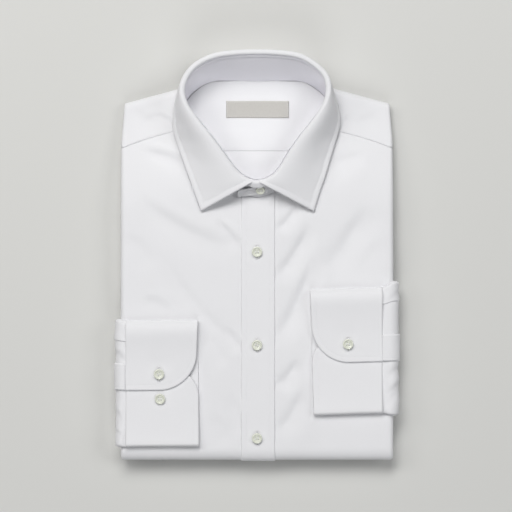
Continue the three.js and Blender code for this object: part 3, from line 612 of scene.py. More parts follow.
class Surface:
    """A material with one Principled shader, built from signals."""

    def __init__(self, name, color, roughness):
        self.material = bpy.data.materials.new(name)
        self.material.use_nodes = True
        self.tree = self.material.node_tree
        self.shader = self.tree.nodes["Principled BSDF"]
        self.set(Base_Color=(*color, 1), Roughness=roughness)

    def node(self, kind, output, inputs=None, **settings):
        """Make a node with its settings, feed its sockets and give back one of its outputs."""
        node = self.tree.nodes.new(kind)
        for key, value in settings.items():
            setattr(node, key, value)
        for key, value in (inputs or {}).items():
            feed(node.inputs[key], value)
        return Signal(self.tree, node.outputs[output])

    def uv(self):
        place = self.node("ShaderNodeTexCoord", "UV")
        return [self.node("ShaderNodeSeparateXYZ", axis, {"Vector": place}) for axis in "XY"]

    def noise(self, scale, detail):
        place = self.node("ShaderNodeTexCoord", "Object")
        return self.node("ShaderNodeTexNoise", "Fac", {"Vector": place, "Scale": scale, "Detail": detail})

    def mix(self, factor, a, b):
        """A colour between a and b. The Mix node names several sockets alike, so they go by place."""
        inputs = {0: factor.clamp(), MIX_COLOR_A: a, MIX_COLOR_B: b}
        return self.node("ShaderNodeMix", MIX_COLOR_RESULT, inputs, data_type="RGBA")

    def tint(self, signal, dark, light):
        self.set(Base_Color=self.mix(signal, (*dark, 1), (*light, 1)))

    def bump(self, height, distance, strength):
        inputs = {"Height": height, "Distance": distance, "Strength": strength}
        self.set(Normal=self.node("ShaderNodeBump", "Normal", inputs))

    def set(self, **values):
        for key, value in values.items():
            feed(self.shader.inputs[key.replace("_", " ")], value)


def shade(color, factor):
    return tuple(min(1.0, c * factor) for c in color)


def ribs(coordinate, rate):
    """Fine parallel ridges, from 0 to 1."""
    return (coordinate * rate).sin() * 0.5 + 0.5


def cotton(name, color, inner_tone_with_painted_light, thread_pitch=0.00042):
    """Fine twill: diagonal ribs across the cloth's own threads, and a faint slub; lighter and cooler where
    inner_side is 1, the lightening being painted light that lifts the shade inside the collar.
    """
    s = Surface(name, color, 0.86)
    u, v = s.uv()
    rate = 2 * math.pi / thread_pitch
    twill = ribs(u + v * 0.8, rate)
    weft = ribs(v, rate * 1.7)
    slub = s.noise(900.0, 3.0)
    patch = s.noise(14.0, 2.0)
    inner_side = s.node("ShaderNodeAttribute", "Fac", attribute_name="inner_side")
    cloth = s.mix(patch * 0.6 + slub * 0.4, (*shade(color, 0.975), 1), (*shade(color, 1.015), 1))
    # Where inner_side is 1 the cloth takes the lighter, cooler inner tone: painted light over the shaded inside of
    # the collar.
    s.set(Base_Color=s.mix(inner_side, cloth, (*inner_tone_with_painted_light, 1)))
    s.bump(twill * 0.6 + weft * 0.25 + slub * 0.5, 0.00005, 0.6)
    s.set(Sheen_Weight=0.08, Sheen_Roughness=0.5, Specular_IOR_Level=0.25)
    return s.material


def label_cloth(name, color, thread_pitch=0.0003):
    s = Surface(name, color, 0.55)
    u, v = s.uv()
    rate = 2 * math.pi / thread_pitch
    s.tint(s.noise(700.0, 2.0), shade(color, 0.94), shade(color, 1.05))
    s.bump(ribs(u, rate) + ribs(v, rate * 0.5) * 0.4, 0.00004, 0.5)
    s.set(Sheen_Weight=0.15)
    return s.material


def pearl(name, color):
    s = Surface(name, color, 0.26)
    s.tint(s.noise(420.0, 3.0), shade(color, 0.9), shade(color, 1.1))
    s.set(Coat_Weight=0.5, Coat_Roughness=0.15)
    return s.material


def thread(name, color):
    s = Surface(name, color, 0.7)
    s.bump(s.noise(2600.0, 1.0), 0.00003, 0.4)
    return s.material


def paper(name, color):
    s = Surface(name, color, 0.8)
    s.tint(s.noise(1.4, 1.0), shade(color, 0.985), shade(color, 1.015))
    return s.material


MATERIALS = ("shirt_cotton", "label_cloth", "button_pearl", "sewing_thread", "stage_floor")


def palette():
    """The shirt's materials by name. The frame holds plain ones of the same names, so the built ones are marked."""
    made = bpy.data.materials
    if "shirt_cotton" in made and made["shirt_cotton"].get("built"):
        return {key: made[key] for key in MATERIALS}
    colors = bpy.context.scene.shirt_colors
    built = {
        # colors.inside is the lighter, cooler inner tone, painted light for the shade inside the collar.
        "shirt_cotton": cotton("shirt_cotton", colors.cotton, colors.inside),
        "label_cloth": label_cloth("label_cloth", colors.label),
        "button_pearl": pearl("button_pearl", colors.pearl),
        "sewing_thread": thread("sewing_thread", colors.thread),
        "stage_floor": paper("stage_floor", colors.floor),
    }
    for key, material in built.items():
        material.name = key
        material["built"] = True
    return built


# ---------------------------------------------------------------------------
# Collar
# ---------------------------------------------------------------------------

COLLAR_COLUMNS = (
    "base_x", "base_y", "rim_l", "rim_r", "rim_y", "rim_z",
    "edge_l", "edge_ly", "edge_r", "edge_ry", "edge_z", "steep",
)
# One row per station from the centre front to the centre back, in metres.
COLLAR = [
    (0.000, 0.0570, 0.0000, 0.0000, 0.0710, 0.0352, -0.0531, 0.0427, 0.0541, 0.0423, 0.0259, 0.12),
    (0.012, 0.0600, -0.0132, 0.0137, 0.0760, 0.0361, -0.0588, 0.0583, 0.0598, 0.0613, 0.0259, 0.14),
    (0.025, 0.0665, -0.0226, 0.0222, 0.0852, 0.0370, -0.0645, 0.0745, 0.0650, 0.0765, 0.0255, 0.18),
    (0.037, 0.0765, -0.0317, 0.0300, 0.0975, 0.0380, -0.0708, 0.0918, 0.0695, 0.0920, 0.0236, 0.25),
    (0.049, 0.0885, -0.0435, 0.0412, 0.1134, 0.0393, -0.0762, 0.1085, 0.0748, 0.1100, 0.0203, 0.40),
    (0.060, 0.1010, -0.0553, 0.0530, 0.1287, 0.0406, -0.0800, 0.1220, 0.0786, 0.1240, 0.0184, 0.55),
    (0.068, 0.1160, -0.0652, 0.0620, 0.1445, 0.0420, -0.0795, 0.1350, 0.0790, 0.1360, 0.0168, 0.72),
    (0.071, 0.1320, -0.0676, 0.0644, 0.1573, 0.0432, -0.0770, 0.1490, 0.0744, 0.1510, 0.0142, 0.90),
    (0.069, 0.1460, -0.0639, 0.0619, 0.1684, 0.0440, -0.0734, 0.1640, 0.0704, 0.1644, 0.0122, 1.00),
    (0.059, 0.1580, -0.0552, 0.0524, 0.1782, 0.0445, -0.0645, 0.1775, 0.0615, 0.1775, 0.0085, 1.00),
    (0.044, 0.1665, -0.0396, 0.0388, 0.1856, 0.0450, -0.0470, 0.1850, 0.0460, 0.1850, 0.0062, 1.00),
    (0.020, 0.1676, -0.0187, 0.0178, 0.1887, 0.0452, -0.0220, 0.1884, 0.0220, 0.1884, 0.0051, 1.00),
    (0.000, 0.1672, 0.0000, 0.0000, 0.1893, 0.0453, 0.0000, 0.1892, 0.0000, 0.1892, 0.0048, 1.00),
]
STATIONS = 24
# A narrow groove where the stand meets the roll: heights from seam to rim, and how deep it is there.
NOTCH_HEIGHTS = (0.0, 0.2, 0.4, 0.6, 0.74, 0.84, 0.92, 0.985)
NOTCH_DEPTHS = (0.0, 0.0, 0.0, 0.0, 0.0007, 0.0011, 0.0008, 0.0001)
LEAF_START, LEAF_END = 0.05, 23.95
LEAF_SKEW_LEFT, LEAF_SKEW_RIGHT = -0.8, 0.3
ROLL_STEPS = 14
SEAM_RISE = 0.0013
LEAF_CREASES = [
    (-0.0700, 0.1000, -0.0480, 0.0800, 0.0020, 0.0060, 0.00030, 0.3),
    (0.0690, 0.0980, 0.0470, 0.0760, -0.0020, 0.0060, 0.00030, 0.3),
    (-0.0560, 0.0600, -0.0300, 0.0620, 0.0010, 0.0060, 0.00020, 0.3),
]


class CollarForm:
    """The collar's sewn line, its roll and its free edge, as curves round the neck."""

    def __init__(self, body, collar):
        self.s = collar
        rows = [dict(zip(COLLAR_COLUMNS, row)) for row in COLLAR]
        right = rows[1:-1][::-1]

        def seat(r):
            y = r["base_y"] + 0.001
            over = y - (shoulder_line(body, r["base_x"]) - body.shoulder_radius)
            if over > 0:
                return body.shoulder_radius + math.sqrt(body.shoulder_radius**2 - over**2) + SEAM_RISE
            return float(top_height(body, r["base_x"], y)) + SEAM_RISE

        self.base = Spline(
            [(-r["base_x"], r["base_y"], seat(r)) for r in rows]
            + [(r["base_x"], r["base_y"], seat(r)) for r in right],
            True,
        )
        self.rim = Spline(
            [(r["rim_l"], r["rim_y"], r["rim_z"]) for r in rows]
            + [(r["rim_r"], r["rim_y"], r["rim_z"]) for r in right],
            True,
        )
        back = rows[:-1][::-1]
        self.edge = Spline(
            [(r["edge_l"], r["edge_ly"], r["edge_z"]) for r in rows]
            + [(r["edge_r"], r["edge_ry"], r["edge_z"]) for r in back],
            False,
        )
        self.steep = np.array([r["steep"] for r in rows] + [r["steep"] for r in back])

    def frames(self, stations):
        base, rim = self.base.at(stations), self.rim.at(stations)
        along = self.rim.tangent(stations)
        up = unit(rim - base)
        out = unit(np.cross(along, up))
        away = rim - np.array([0, 0.12, 0])
        away[..., 2] = 0
        out *= np.sign(np.sum(out * away, axis=-1, keepdims=True))
        near = np.minimum(stations, STATIONS - stations)
        front = 1 - smooth((near - 0.3) / 2.4)
        drop = lerp(self.s.seam_drop, self.s.seam_drop_front, front)[..., None]
        return base, rim, up, out, rim - up * drop, front

    def overhang(self, stations):
        """The roll's innermost line, seen from above."""
        _, rim, up, out, _, _ = self.frames(stations)
        flat = np.array([1, 1, 0])
        turn = np.linspace(0, math.pi / 2, 10)[None, :, None]
        radius = self.s.roll_radius
        arc = rim[:, None] + out[:, None] * radius * (1 - np.cos(turn)) + up[:, None] * radius * np.sin(turn)
        inward = -np.sum((arc - rim[:, None]) * unit(out * flat)[:, None], axis=-1)
        return arc[np.arange(len(arc)), np.argmax(inward, axis=1)]

    def stand(self, stations, heights):
        base, _, _, out, seam, _ = self.frames(stations)
        top = seam + unit(seam - base) * 0.0006
        k = np.asarray(heights)[None, :, None]
        bulge = -0.0008 * np.sin(math.pi * k) + 0.0005 * smooth((k - 0.9) / 0.08)
        return base[:, None] + (top - base)[:, None] * k + out[:, None] * bulge

    def leaf(self, stations, roll, fall):
        _, rim, up, out, seam, front = self.frames(stations)
        k = np.clip((stations - LEAF_START) / (LEAF_END - LEAF_START), 0, 1) * STATIONS
        radius = self.s.roll_radius
        near = np.minimum(stations, STATIONS - stations)
        skew = np.where(stations < STATIONS / 2, LEAF_SKEW_LEFT, LEAF_SKEW_RIGHT) * np.exp(-((near / 0.7) ** 2))
        out = out + skew[:, None] * np.array([1.0, 0, 0])
        centre = rim + out * radius
        steep = np.clip(np.interp(k, np.arange(len(self.steep)), self.steep), 0, 1)[:, None]
        tall = smooth((steep - 0.3) / 0.7)
        crest = np.arctan2(up[:, 2:3], -out[:, 2:3])
        last = lerp(crest, math.pi, tall)
        turn = (last * np.linspace(0, 1, roll + 1)[None, :])[..., None]
        arc = centre[:, None] - out[:, None] * radius * np.cos(turn) + up[:, None] * radius * np.sin(turn)
        climb = np.array(NOTCH_HEIGHTS)[None, :, None]
        notch = np.array(NOTCH_DEPTHS)[None, :, None] * (1 - front[:, None, None])
        inner = lerp(seam[:, None], rim[:, None], climb) + out[:, None] * notch
        start, end = arc[:, -1], self.edge.at(k)
        reach = end - start
        size = np.linalg.norm(reach, axis=-1, keepdims=True)
        level = unit(reach * np.array([1, 1, 0]))
        leave = unit(out * np.sin(last) + up * np.cos(last))
        ahead = unit(lerp(leave, level, np.maximum(front[:, None], 0.45 * (1 - steep))))
        c1 = start + ahead * lerp(0.24, 0.36, tall) * size
        drop = unit(level * (1 - steep) + np.array([0, 0, -1]) * (steep + 0.08))
        arrive = unit(lerp(unit(end - c1), drop, 0.45 * tall))
        c2 = end - arrive * 0.36 * size
        t = np.linspace(0, 1, fall + 1)[None, 1:, None]
        curve = (
            start[:, None] * (1 - t) ** 3
            + 3 * c1[:, None] * t * (1 - t) ** 2
            + 3 * c2[:, None] * t**2 * (1 - t)
            + end[:, None] * t**3
        )
        return np.concatenate([inner, arc, curve], axis=1)


def roll_bridge(form, s, samples=30):
    """The rolled top of the under band that closes the gap between the two leaves at the front."""
    stations = np.linspace(-0.5, 0.5, samples)
    wrapped = np.mod(stations, STATIONS)
    _, rim, up, out, _, _ = form.frames(wrapped)
    radius = s.roll_radius - 0.0004
    centre = rim + out * s.roll_radius
    turn = np.linspace(0, math.pi, 15)[None, :, None]
    arc = centre[:, None] - out[:, None] * radius * np.cos(turn) + up[:, None] * radius * np.sin(turn)
    fall = arc[:, -1:] - up[:, None] * np.linspace(0, 0.0045, 6)[None, 1:, None]
    return np.concatenate([arc, fall], axis=1)


TAB_BOTTOM = ((0.010, 0.0602, 0.0296), (-0.0181, 0.0566, 0.0266))
TAB_TOP = ((0.010, 0.0680, 0.0350), (-0.0181, 0.0618, 0.0308))


def tab_grid():
    """The buttoned end of the band: a flat strip in front of the stand with a rounded end."""
    u, v = np.meshgrid(np.linspace(0, 1, 57), np.linspace(0, 1, 17), indexing="ij")
    width, rounding = 0.0279, 0.0012
    past = np.maximum(0, (u - 1) * width + rounding)
    squeeze = np.sqrt(np.maximum(0, 1 - (past / rounding) ** 2)) * 0.25 + 0.75
    v = 0.5 + (v - 0.5) * squeeze
    low = np.array(TAB_BOTTOM[0]) + (np.array(TAB_BOTTOM[1]) - np.array(TAB_BOTTOM[0])) * u[..., None]
    high = np.array(TAB_TOP[0]) + (np.array(TAB_TOP[1]) - np.array(TAB_TOP[0])) * u[..., None]
    grid = low + (high - low) * v[..., None]
    normal = grid_normals(grid, False)
    edge = np.minimum(np.minimum(v, 1 - v) * 0.008, (1 - u) * width)
    return grid + normal * margin_lift(edge, 0.0015, puff=0.0001, groove=0.0001)[..., None]


def margin_lift(distance, inset, puff=0.00022, groove=0.0003):
    """A stitched edge: the margin is plump, the stitch line is pulled down, and the edge is rounded."""
    plump = puff * smooth(distance / 0.0012) * smooth((inset - distance) / 0.0016)
    line = -groove * np.exp(-(((distance - inset) / 0.0006) ** 2))
    round_off = -0.0005 * (1 - smooth(distance / 0.0009))
    return plump + line + round_off


def inset_line(grid, distance, level):
    """The line on a grid where distance, which falls along each row, passes level."""
    line = []
    for points, d in zip(grid, distance):
        order = np.argsort(d)
        line.append([np.interp(level, d[order], points[order, k]) for k in range(3)])
    return np.array(line)


# ---------------------------------------------------------------------------
# Cuffs and sleeve ends
# ---------------------------------------------------------------------------

CUFF_COLUMNS = (
    "name", "side", "seam", "hem", "top", "bottom", "flap", "under", "turn", "flare_top", "flare_bottom", "taper",
    "corner",
)
CUFFS = [
    ("right", -1, -0.1244, -0.0554, -0.0606, -0.1800, -0.1264, -0.106, 0.5, 0.0016, 0.0, 0.0030, 0.027),
    ("left", 1, 0.1188, 0.0519, -0.0302, -0.1494, -0.1002, -0.080, 1.8, 0.0055, 0.002, 0.0014, 0.019),
]


def cuffs():
    return [dict(zip(CUFF_COLUMNS, row)) for row in CUFFS]


def cuff_place(cuff, x, y, z):
    angle = math.radians(cuff["turn"])
    mid_x, mid_y = (cuff["seam"] + cuff["hem"]) / 2, (cuff["top"] + cuff["bottom"]) / 2
    from_seam = (x - cuff["seam"]) / (cuff["hem"] - cuff["seam"])
    px = x - (y - mid_y) * math.sin(angle) * from_seam
    py = y + (x - mid_x) * math.sin(angle)
    return stack(px, py, z)


HALF_LAYER = 0.00065
SLEEVE_WALL = 0.0005
GAUNTLET_WALL = 0.0008
# How far the free end of the flap stands off the layer under it.
FLAP_CURL = 0.0006
# The low ridge along the seam that joins a cuff to its sleeve.
SEAM_RIDGE, SEAM_RIDGE_WIDTH = 0.0001, 0.0022
# Shallow dents in the flaps, where a buttonhole pulls: x and y of each.
CUFF_DENTS = {"right": [(-0.0930, -0.1020), (-0.0910, -0.1260)], "left": [(0.0860, -0.0740)]}
DENT_WIDTH, DENT_HEIGHT, DENT_DEPTH = 0.009, 0.007, 0.00045


def cuff_levels(body, s):
    back = body.thickness + 0.0003 + HALF_LAYER
    under = back + s.layer
    return back, under, under + s.layer


def cuff_path(body, s, cuff):
    """Rows down the cuff: y, z, normal y and z, distance from the layer's own end, and which layer."""
    back, under, flap = cuff_levels(body, s)
    r_low = (under + s.bottom_puff - back) / 2
    r_top = (flap + 0.0004 - back) / 2
    low, high = cuff["bottom"] + r_low + HALF_LAYER, cuff["top"] - r_top - HALF_LAYER
    rows = []

    def under_z(y):
        return under + s.bottom_puff * np.exp(-(y - low) / s.puff_length)

    def flap_z(y):
        d = (high - y) / s.top_crest
        end = FLAP_CURL * np.exp((cuff["flap"] - y) / 0.006)
        return flap + s.top_puff * d * np.exp(1 - d) + 0.0004 * np.exp(-4 * d) + end

    ease = np.linspace(0, 1, 34) ** 1.6
    for e in cuff["under"] - (cuff["under"] - low) * ease:
        rows.append((e, float(under_z(e)), 0, 1, cuff["under"] - e, 0))
    for a in np.radians(np.linspace(90, 270, 15)[1:]):
        rows.append((low + r_low * math.cos(a), back + r_low + r_low * math.sin(a), math.cos(a), math.sin(a), 1, 1))
    for y in np.linspace(low, high, 16)[1:]:
        rows.append((y, back, 0, -1, 1, 1))
    for a in np.radians(np.linspace(-90, 90, 17)[1:]):
        rows.append((high + r_top * math.cos(a), back + r_top + r_top * math.sin(a), math.cos(a), math.sin(a), 1, 2))
    ease = 1 - (1 - np.linspace(0, 1, 60)[1:]) ** 1.5
    for y in high - (high - cuff["flap"]) * ease:
        rows.append((y, float(flap_z(y)), 0, 1, y - cuff["flap"], 2))
    return np.array(rows)


def cuff_grid(body, s, cuff, columns=48):
    path = cuff_path(body, s, cuff)
    y, z, ny, nz, e, layer = (path[:, k : k + 1] for k in range(6))
    along = math.copysign(1, cuff["hem"] - cuff["seam"])
    on_flap = (layer == 2) & (ny == 0)
    narrowed = cuff["taper"] * np.where(on_flap, 1 - e / (cuff["top"] - cuff["flap"]), 0)
    width = abs(cuff["hem"] - cuff["seam"]) - narrowed
    radius = np.where(on_flap, s.flap_radius, cuff["corner"])
    short = np.maximum(0, radius - e)
    cut = radius - np.sqrt(np.maximum(radius**2 - short**2, 0))
    k = np.linspace(0, 1, columns + 1)[None, :]
    k = 1 - (1 - k) ** 1.25
    reach = (width - cut) * k
    x = cuff["seam"] + along * reach
    hem = width - reach
    rounded = radius - np.hypot(np.maximum(radius - e, 0), np.maximum(radius - hem, 0))
    corner = np.maximum(np.where((e < radius) & (hem < radius), rounded, np.minimum(e, hem)), 0)
    lift = margin_lift(corner, s.stitch_inset, puff=0.00007, groove=0.0001)
    ridge = SEAM_RIDGE * np.exp(-((reach / SEAM_RIDGE_WIDTH) ** 2))
    soft = undulation(reach * 1.6 + cuff["side"], y * 1.3, 0.00022)
    top_side = np.where(nz > 0.2, 1.0, 0.3)
    dent = 0
    for bx, by in CUFF_DENTS[cuff["name"]]:
        d2 = ((np.abs(x) - abs(bx)) / DENT_WIDTH) ** 2 + ((y - by) / DENT_HEIGHT) ** 2
        dent = dent - DENT_DEPTH * np.exp(-d2)
    n = HALF_LAYER + lift + ridge + (soft + dent) * top_side
    px = x + 0 * y
    grid = cuff_place(cuff, px, y + ny * n, z + nz * n)
    return grid, corner, layer + 0 * k, path


def sleeve_path(body, s, cuff, tuck, segments=34):
    side, end = cuff["side"], abs(cuff["seam"]) - tuck
    cx = body.half_width - body.side_radius
    cz = body.thickness - body.side_radius
    low = body.thickness / 2 - 0.0001
    rows = [(cx - s.sleeve_reach * k, low, 0, -1, 0) for k in (1, 0.66, 0.33)]
    for a in np.radians(np.linspace(-90, 90, segments + 1)):
        r = lerp(cz - low, s.sleeve_bend, math.cos(a) ** 2)
        open_up = float(smooth((math.degrees(a) + 80) / 70))
        rows.append((cx + r * math.cos(a), cz + r * math.sin(a), math.cos(a), math.sin(a), open_up))
    if end < cx - 0.001:
        for x in np.linspace(cx, end, 8)[1:]:
            rows.append((x, cz + (cz - low), 0, 1, 1))
    rows = np.array(rows)
    return stack(side * rows[:, 0], rows[:, 1], side * rows[:, 2]), rows[:, 3], rows[:, 4]


# The tuck beside each cuff: its place down the sleeve, how far that moves towards the side, height and width.
TUCKS = {"right": (0.157, -0.005, 0.0010, 0.06), "left": (0.129, 0.010, 0.0010, 0.07)}
SLEEVE_CREASES = {
    "right": [
        (-0.1360, -0.0880, -0.1250, -0.1010, 0.0010, 0.0030, 0.0009, 0.4),
        (-0.1330, -0.1440, -0.1250, -0.1640, 0.0010, 0.0024, 0.0009, 0.4),
        (-0.1330, -0.1640, -0.1250, -0.1730, 0.0005, 0.0018, 0.0007, 0.5),
        (-0.1360, -0.1180, -0.1260, -0.1420, 0.0010, 0.0030, 0.0006, 0.4),
    ],
    "left": [
        (0.1350, -0.0300, 0.1240, -0.0440, 0.0000, 0.0026, 0.0008, 0.5),
        (0.1350, -0.1020, 0.1200, -0.1150, 0.0008, 0.0026, 0.0009, 0.5),
        (0.1340, -0.1170, 0.1210, -0.1340, 0.0008, 0.0026, 0.0009, 0.5),
        (0.1300, -0.1290, 0.1210, -0.1420, 0.0005, 0.0020, 0.0006, 0.5),
    ],
}


def sleeve_grid(body, s, cuff):
    """The flattened sleeve as a closed tube: rows along its length, columns round it."""
    places, nz, opening = sleeve_path(body, s, cuff, 0.003)
    x, z, nx = places[:, 0:1], places[:, 1:2], places[:, 2:3]
    top = cuff_place(cuff, cuff["seam"], cuff["top"], 0)[1]
    bottom = cuff_place(cuff, cuff["seam"], cuff["bottom"], 0)[1]
    flare = smooth((np.abs(x) - abs(cuff["seam"])) / 0.012)
    y_top = top + cuff["flare_top"] * flare
    y_low = bottom - cuff["flare_bottom"] * flare
    half = s.sleeve_thick / 2
    at, slant, high, width = TUCKS[cuff["name"]]
    k = (1 - np.cos(math.pi * np.linspace(0, 1, 97))) / 2
    k = np.linspace(0, 1, 97) * 0.8 + k * 0.2
    near_tuck = at + slant / 2 + np.linspace(-1, 1, 21) * (abs(slant) / 2 + 0.012)
    k = np.concatenate([k[(k < near_tuck[0] - 0.002) | (k > near_tuck[-1] + 0.002)], near_tuck])
    k.sort()
    up, down = k[None, :], k[None, ::-1][:, 1:-1]

    def edge_lift(t):
        y = lerp(y_top, y_low, t)
        edge = np.minimum(y_top - y, y - y_low)
        return half * np.sqrt(np.clip(1 - (1 - np.clip(edge / half, 0, 1)) ** 2, 0, 1))

    d = up - at - slant * flare
    raised = high * np.where(d < 0, np.exp(-((d / width) ** 2)), np.exp(-((d / 0.004) ** 2))) * opening[:, None]
    creases = crease_field(x, lerp(y_top, y_low, up), SLEEVE_CREASES[cuff["name"]])
    soft = (undulation(up * 0.12 + 0.3 * z, x + z, 0.0003) + creases) * opening[:, None]
    outer = edge_lift(up) * (1 + raised / half) + soft * smooth(np.minimum(up, 1 - up) / 0.05)
    inner = -edge_lift(down) + 0 * x
    _, under, flap = cuff_levels(body, s)
    y_up = lerp(y_top, y_low, up)
    flap_y = cuff_place(cuff, cuff["seam"], cuff["flap"], 0)[1]
    level = lerp(under, flap, smooth((y_up - flap_y) / 0.003 + 0.5))
    from_crest = (y_top - y_up) / s.top_crest
    level = level + s.top_puff * from_crest * np.exp(1 - from_crest) * (y_up > flap_y)
    near_seam = 1 - smooth((np.abs(x) - abs(cuff["seam"])) / 0.009)
    flat_part = near_seam * (nz[:, None] > 0.5)
    tucked = np.minimum(outer, (level + 0.0003 - z) * smooth(np.minimum(up, 1 - up) / 0.02))
    outer = lerp(outer, tucked, flat_part)
    n = np.concatenate([outer, inner], axis=1)
    t = np.concatenate([up, down], axis=1)
    y = lerp(y_top, y_low, t)
    return stack(x + nx * n, y, z + nz[:, None] * n)


# ---------------------------------------------------------------------------
# Stitches: a geometry-node tree that lays thread along lines
# ---------------------------------------------------------------------------


# How far the middle of a stitch stands over the cloth.
THREAD_LIFT = 0.00006


def stitch_tree():
    if "shirt_stitch_run" in bpy.data.node_groups:
        return bpy.data.node_groups["shirt_stitch_run"]
    tree = bpy.data.node_groups.new("shirt_stitch_run", "GeometryNodeTree")
    face = tree.interface
    face.new_socket("Geometry", in_out="INPUT", socket_type="NodeSocketGeometry")
    for name, default in (("Length", 0.0016), ("Pitch", 0.0022), ("Thread", 0.00028)):
        socket = face.new_socket(name, in_out="INPUT", socket_type="NodeSocketFloat")
        socket.default_value = default
    face.new_socket("Material", in_out="INPUT", socket_type="NodeSocketMaterial")
    face.new_socket("Geometry", in_out="OUTPUT", socket_type="NodeSocketGeometry")
    nodes, links = tree.nodes, tree.links

    def node(kind, **settings):
        made = nodes.new(kind)
        for key, value in settings.items():
            setattr(made, key, value)
        return made

    given, result = node("NodeGroupInput"), node("NodeGroupOutput")
    resample = node("GeometryNodeResampleCurve", mode="LENGTH")
    tangent = node("GeometryNodeInputTangent")
    turn = node("FunctionNodeAlignRotationToVector", axis="X")
    ball = node("GeometryNodeMeshUVSphere")
    ball.inputs["Segments"].default_value = 6
    ball.inputs["Rings"].default_value = 4
    ball.inputs["Radius"].default_value = 0.5
    scale = node("ShaderNodeCombineXYZ")
    wobble = node("FunctionNodeRandomValue", data_type="FLOAT")
    wobble.inputs["Min"].default_value = 0.9
    wobble.inputs["Max"].default_value = 1.08
    wobble.inputs["Seed"].default_value = 11
    longer = node("ShaderNodeMath", operation="MULTIPLY")
    place = node("GeometryNodeInstanceOnPoints")
    real = node("GeometryNodeRealizeInstances")
    paint = node("GeometryNodeSetMaterial")
    links.new(given.outputs["Geometry"], resample.inputs["Curve"])
    links.new(given.outputs["Pitch"], resample.inputs["Length"])
    links.new(resample.outputs["Curve"], place.inputs["Points"])
    links.new(tangent.outputs["Tangent"], turn.inputs["Vector"])
    links.new(turn.outputs["Rotation"], place.inputs["Rotation"])
    links.new(ball.outputs["Mesh"], place.inputs["Instance"])
    links.new(given.outputs["Length"], longer.inputs[0])
    links.new(wobble.outputs["Value"], longer.inputs[1])
    links.new(longer.outputs["Value"], scale.inputs["X"])
    links.new(given.outputs["Thread"], scale.inputs["Y"])
    links.new(given.outputs["Thread"], scale.inputs["Z"])
    links.new(scale.outputs["Vector"], place.inputs["Scale"])
    links.new(place.outputs["Instances"], real.inputs["Geometry"])
    links.new(real.outputs["Geometry"], paint.inputs["Geometry"])
    links.new(given.outputs["Material"], paint.inputs["Material"])
    links.new(paint.outputs["Geometry"], result.inputs["Geometry"])
    return tree


def stitches(name, lines, settings, material):
    """One mesh of stitches along several lines of points."""
    curve = bpy.data.curves.new(name + "_line", "CURVE")
    curve.dimensions = "3D"
    for line in lines:
        spline = curve.splines.new("POLY")
        spline.points.add(len(line) - 1)
        spline.points.foreach_set("co", np.column_stack([line, np.ones(len(line))]).ravel())
    source = place_object(name + "_source", curve)
    tree = stitch_tree()
    modifier = source.modifiers.new("stitches", "NODES")
    modifier.node_group = tree
    values = {"Length": settings.length, "Pitch": settings.pitch, "Thread": settings.thread, "Material": material}
    for item in tree.interface.items_tree:
        if item.item_type == "SOCKET" and item.in_out == "INPUT" and item.name in values:
            modifier[item.identifier] = values[item.name]
    graph = bpy.context.evaluated_depsgraph_get()
    mesh = bpy.data.meshes.new_from_object(source.evaluated_get(graph), depsgraph=graph)
    mesh.name = name
    if not mesh.materials:
        mesh.materials.append(material)
    smooth_faces(mesh)
    obj = place_object(name, mesh)
    bpy.data.objects.remove(source)
    if not len(mesh.polygons):
        raise RuntimeError(name + " made no stitches")
    return obj


def sew(name, lines):
    """Stitches along several lines, as a finished piece."""
    finish_piece(stitches(name, lines, bpy.context.scene.shirt_stitch, palette()["sewing_thread"]))


# ---------------------------------------------------------------------------
# Operators, one per piece or group of pieces
# ---------------------------------------------------------------------------


# How far each front runs under the placket, and how deep it dips there, by side.
TUCK = 0.003
TUCK_DIP = {-1: 0.0003, 1: 0.0005}
YOKE_INSET = 0.0016


def front_places(body, placket, side):
    inner = placket.right - TUCK if side > 0 else placket.left + TUCK
    flat = spaced(inner, side * (body.half_width - body.side_radius), body.step)[:-1]
    return np.vstack([flat_places(flat), side_places(body, side)])


def front_grid(body, placket, side):
    places = front_places(body, placket, side)
    x = places[:, 0]
    seam = seam_y(x)
    top = np.minimum(seam + 0.002, table_y(x, NECK_FRONT))
    b = front_rows(body, x, top)
    plain = bag(body, places, b)
    lift = body_lift(body, plain, b, places[:, 2:3], FRONT_CREASES)
    past_seam = plain[..., 1] - seam[:, None]
    lift = lift - 0.0007 * smooth(past_seam / 0.0006 + 1) * (b > 2)
    edge = placket.right if side > 0 else placket.left
    under = side * (edge - plain[..., 0])
    lift = lift - TUCK_DIP[side] * smooth(under / 0.0008 + 0.8)
    return bag(body, places, b, lift)


class SHIRT_OT_fronts(bpy.types.Operator):
    """Build both shirt fronts, from the tail on the underside round to the yoke seam"""

    bl_idname = "shirt.fronts"
    bl_label = "Fronts"

    def execute(self, context):
        body, placket = context.scene.shirt_body, context.scene.shirt_placket
        for side, name in ((-1, "right_front"), (1, "left_front")):
            grid = front_grid(body, placket, side)
            obj = shell("shirt_" + name, grid, body.cloth, palette()["shirt_cotton"], facing=side)
            finish_piece(obj, [name])
        return {"FINISHED"}


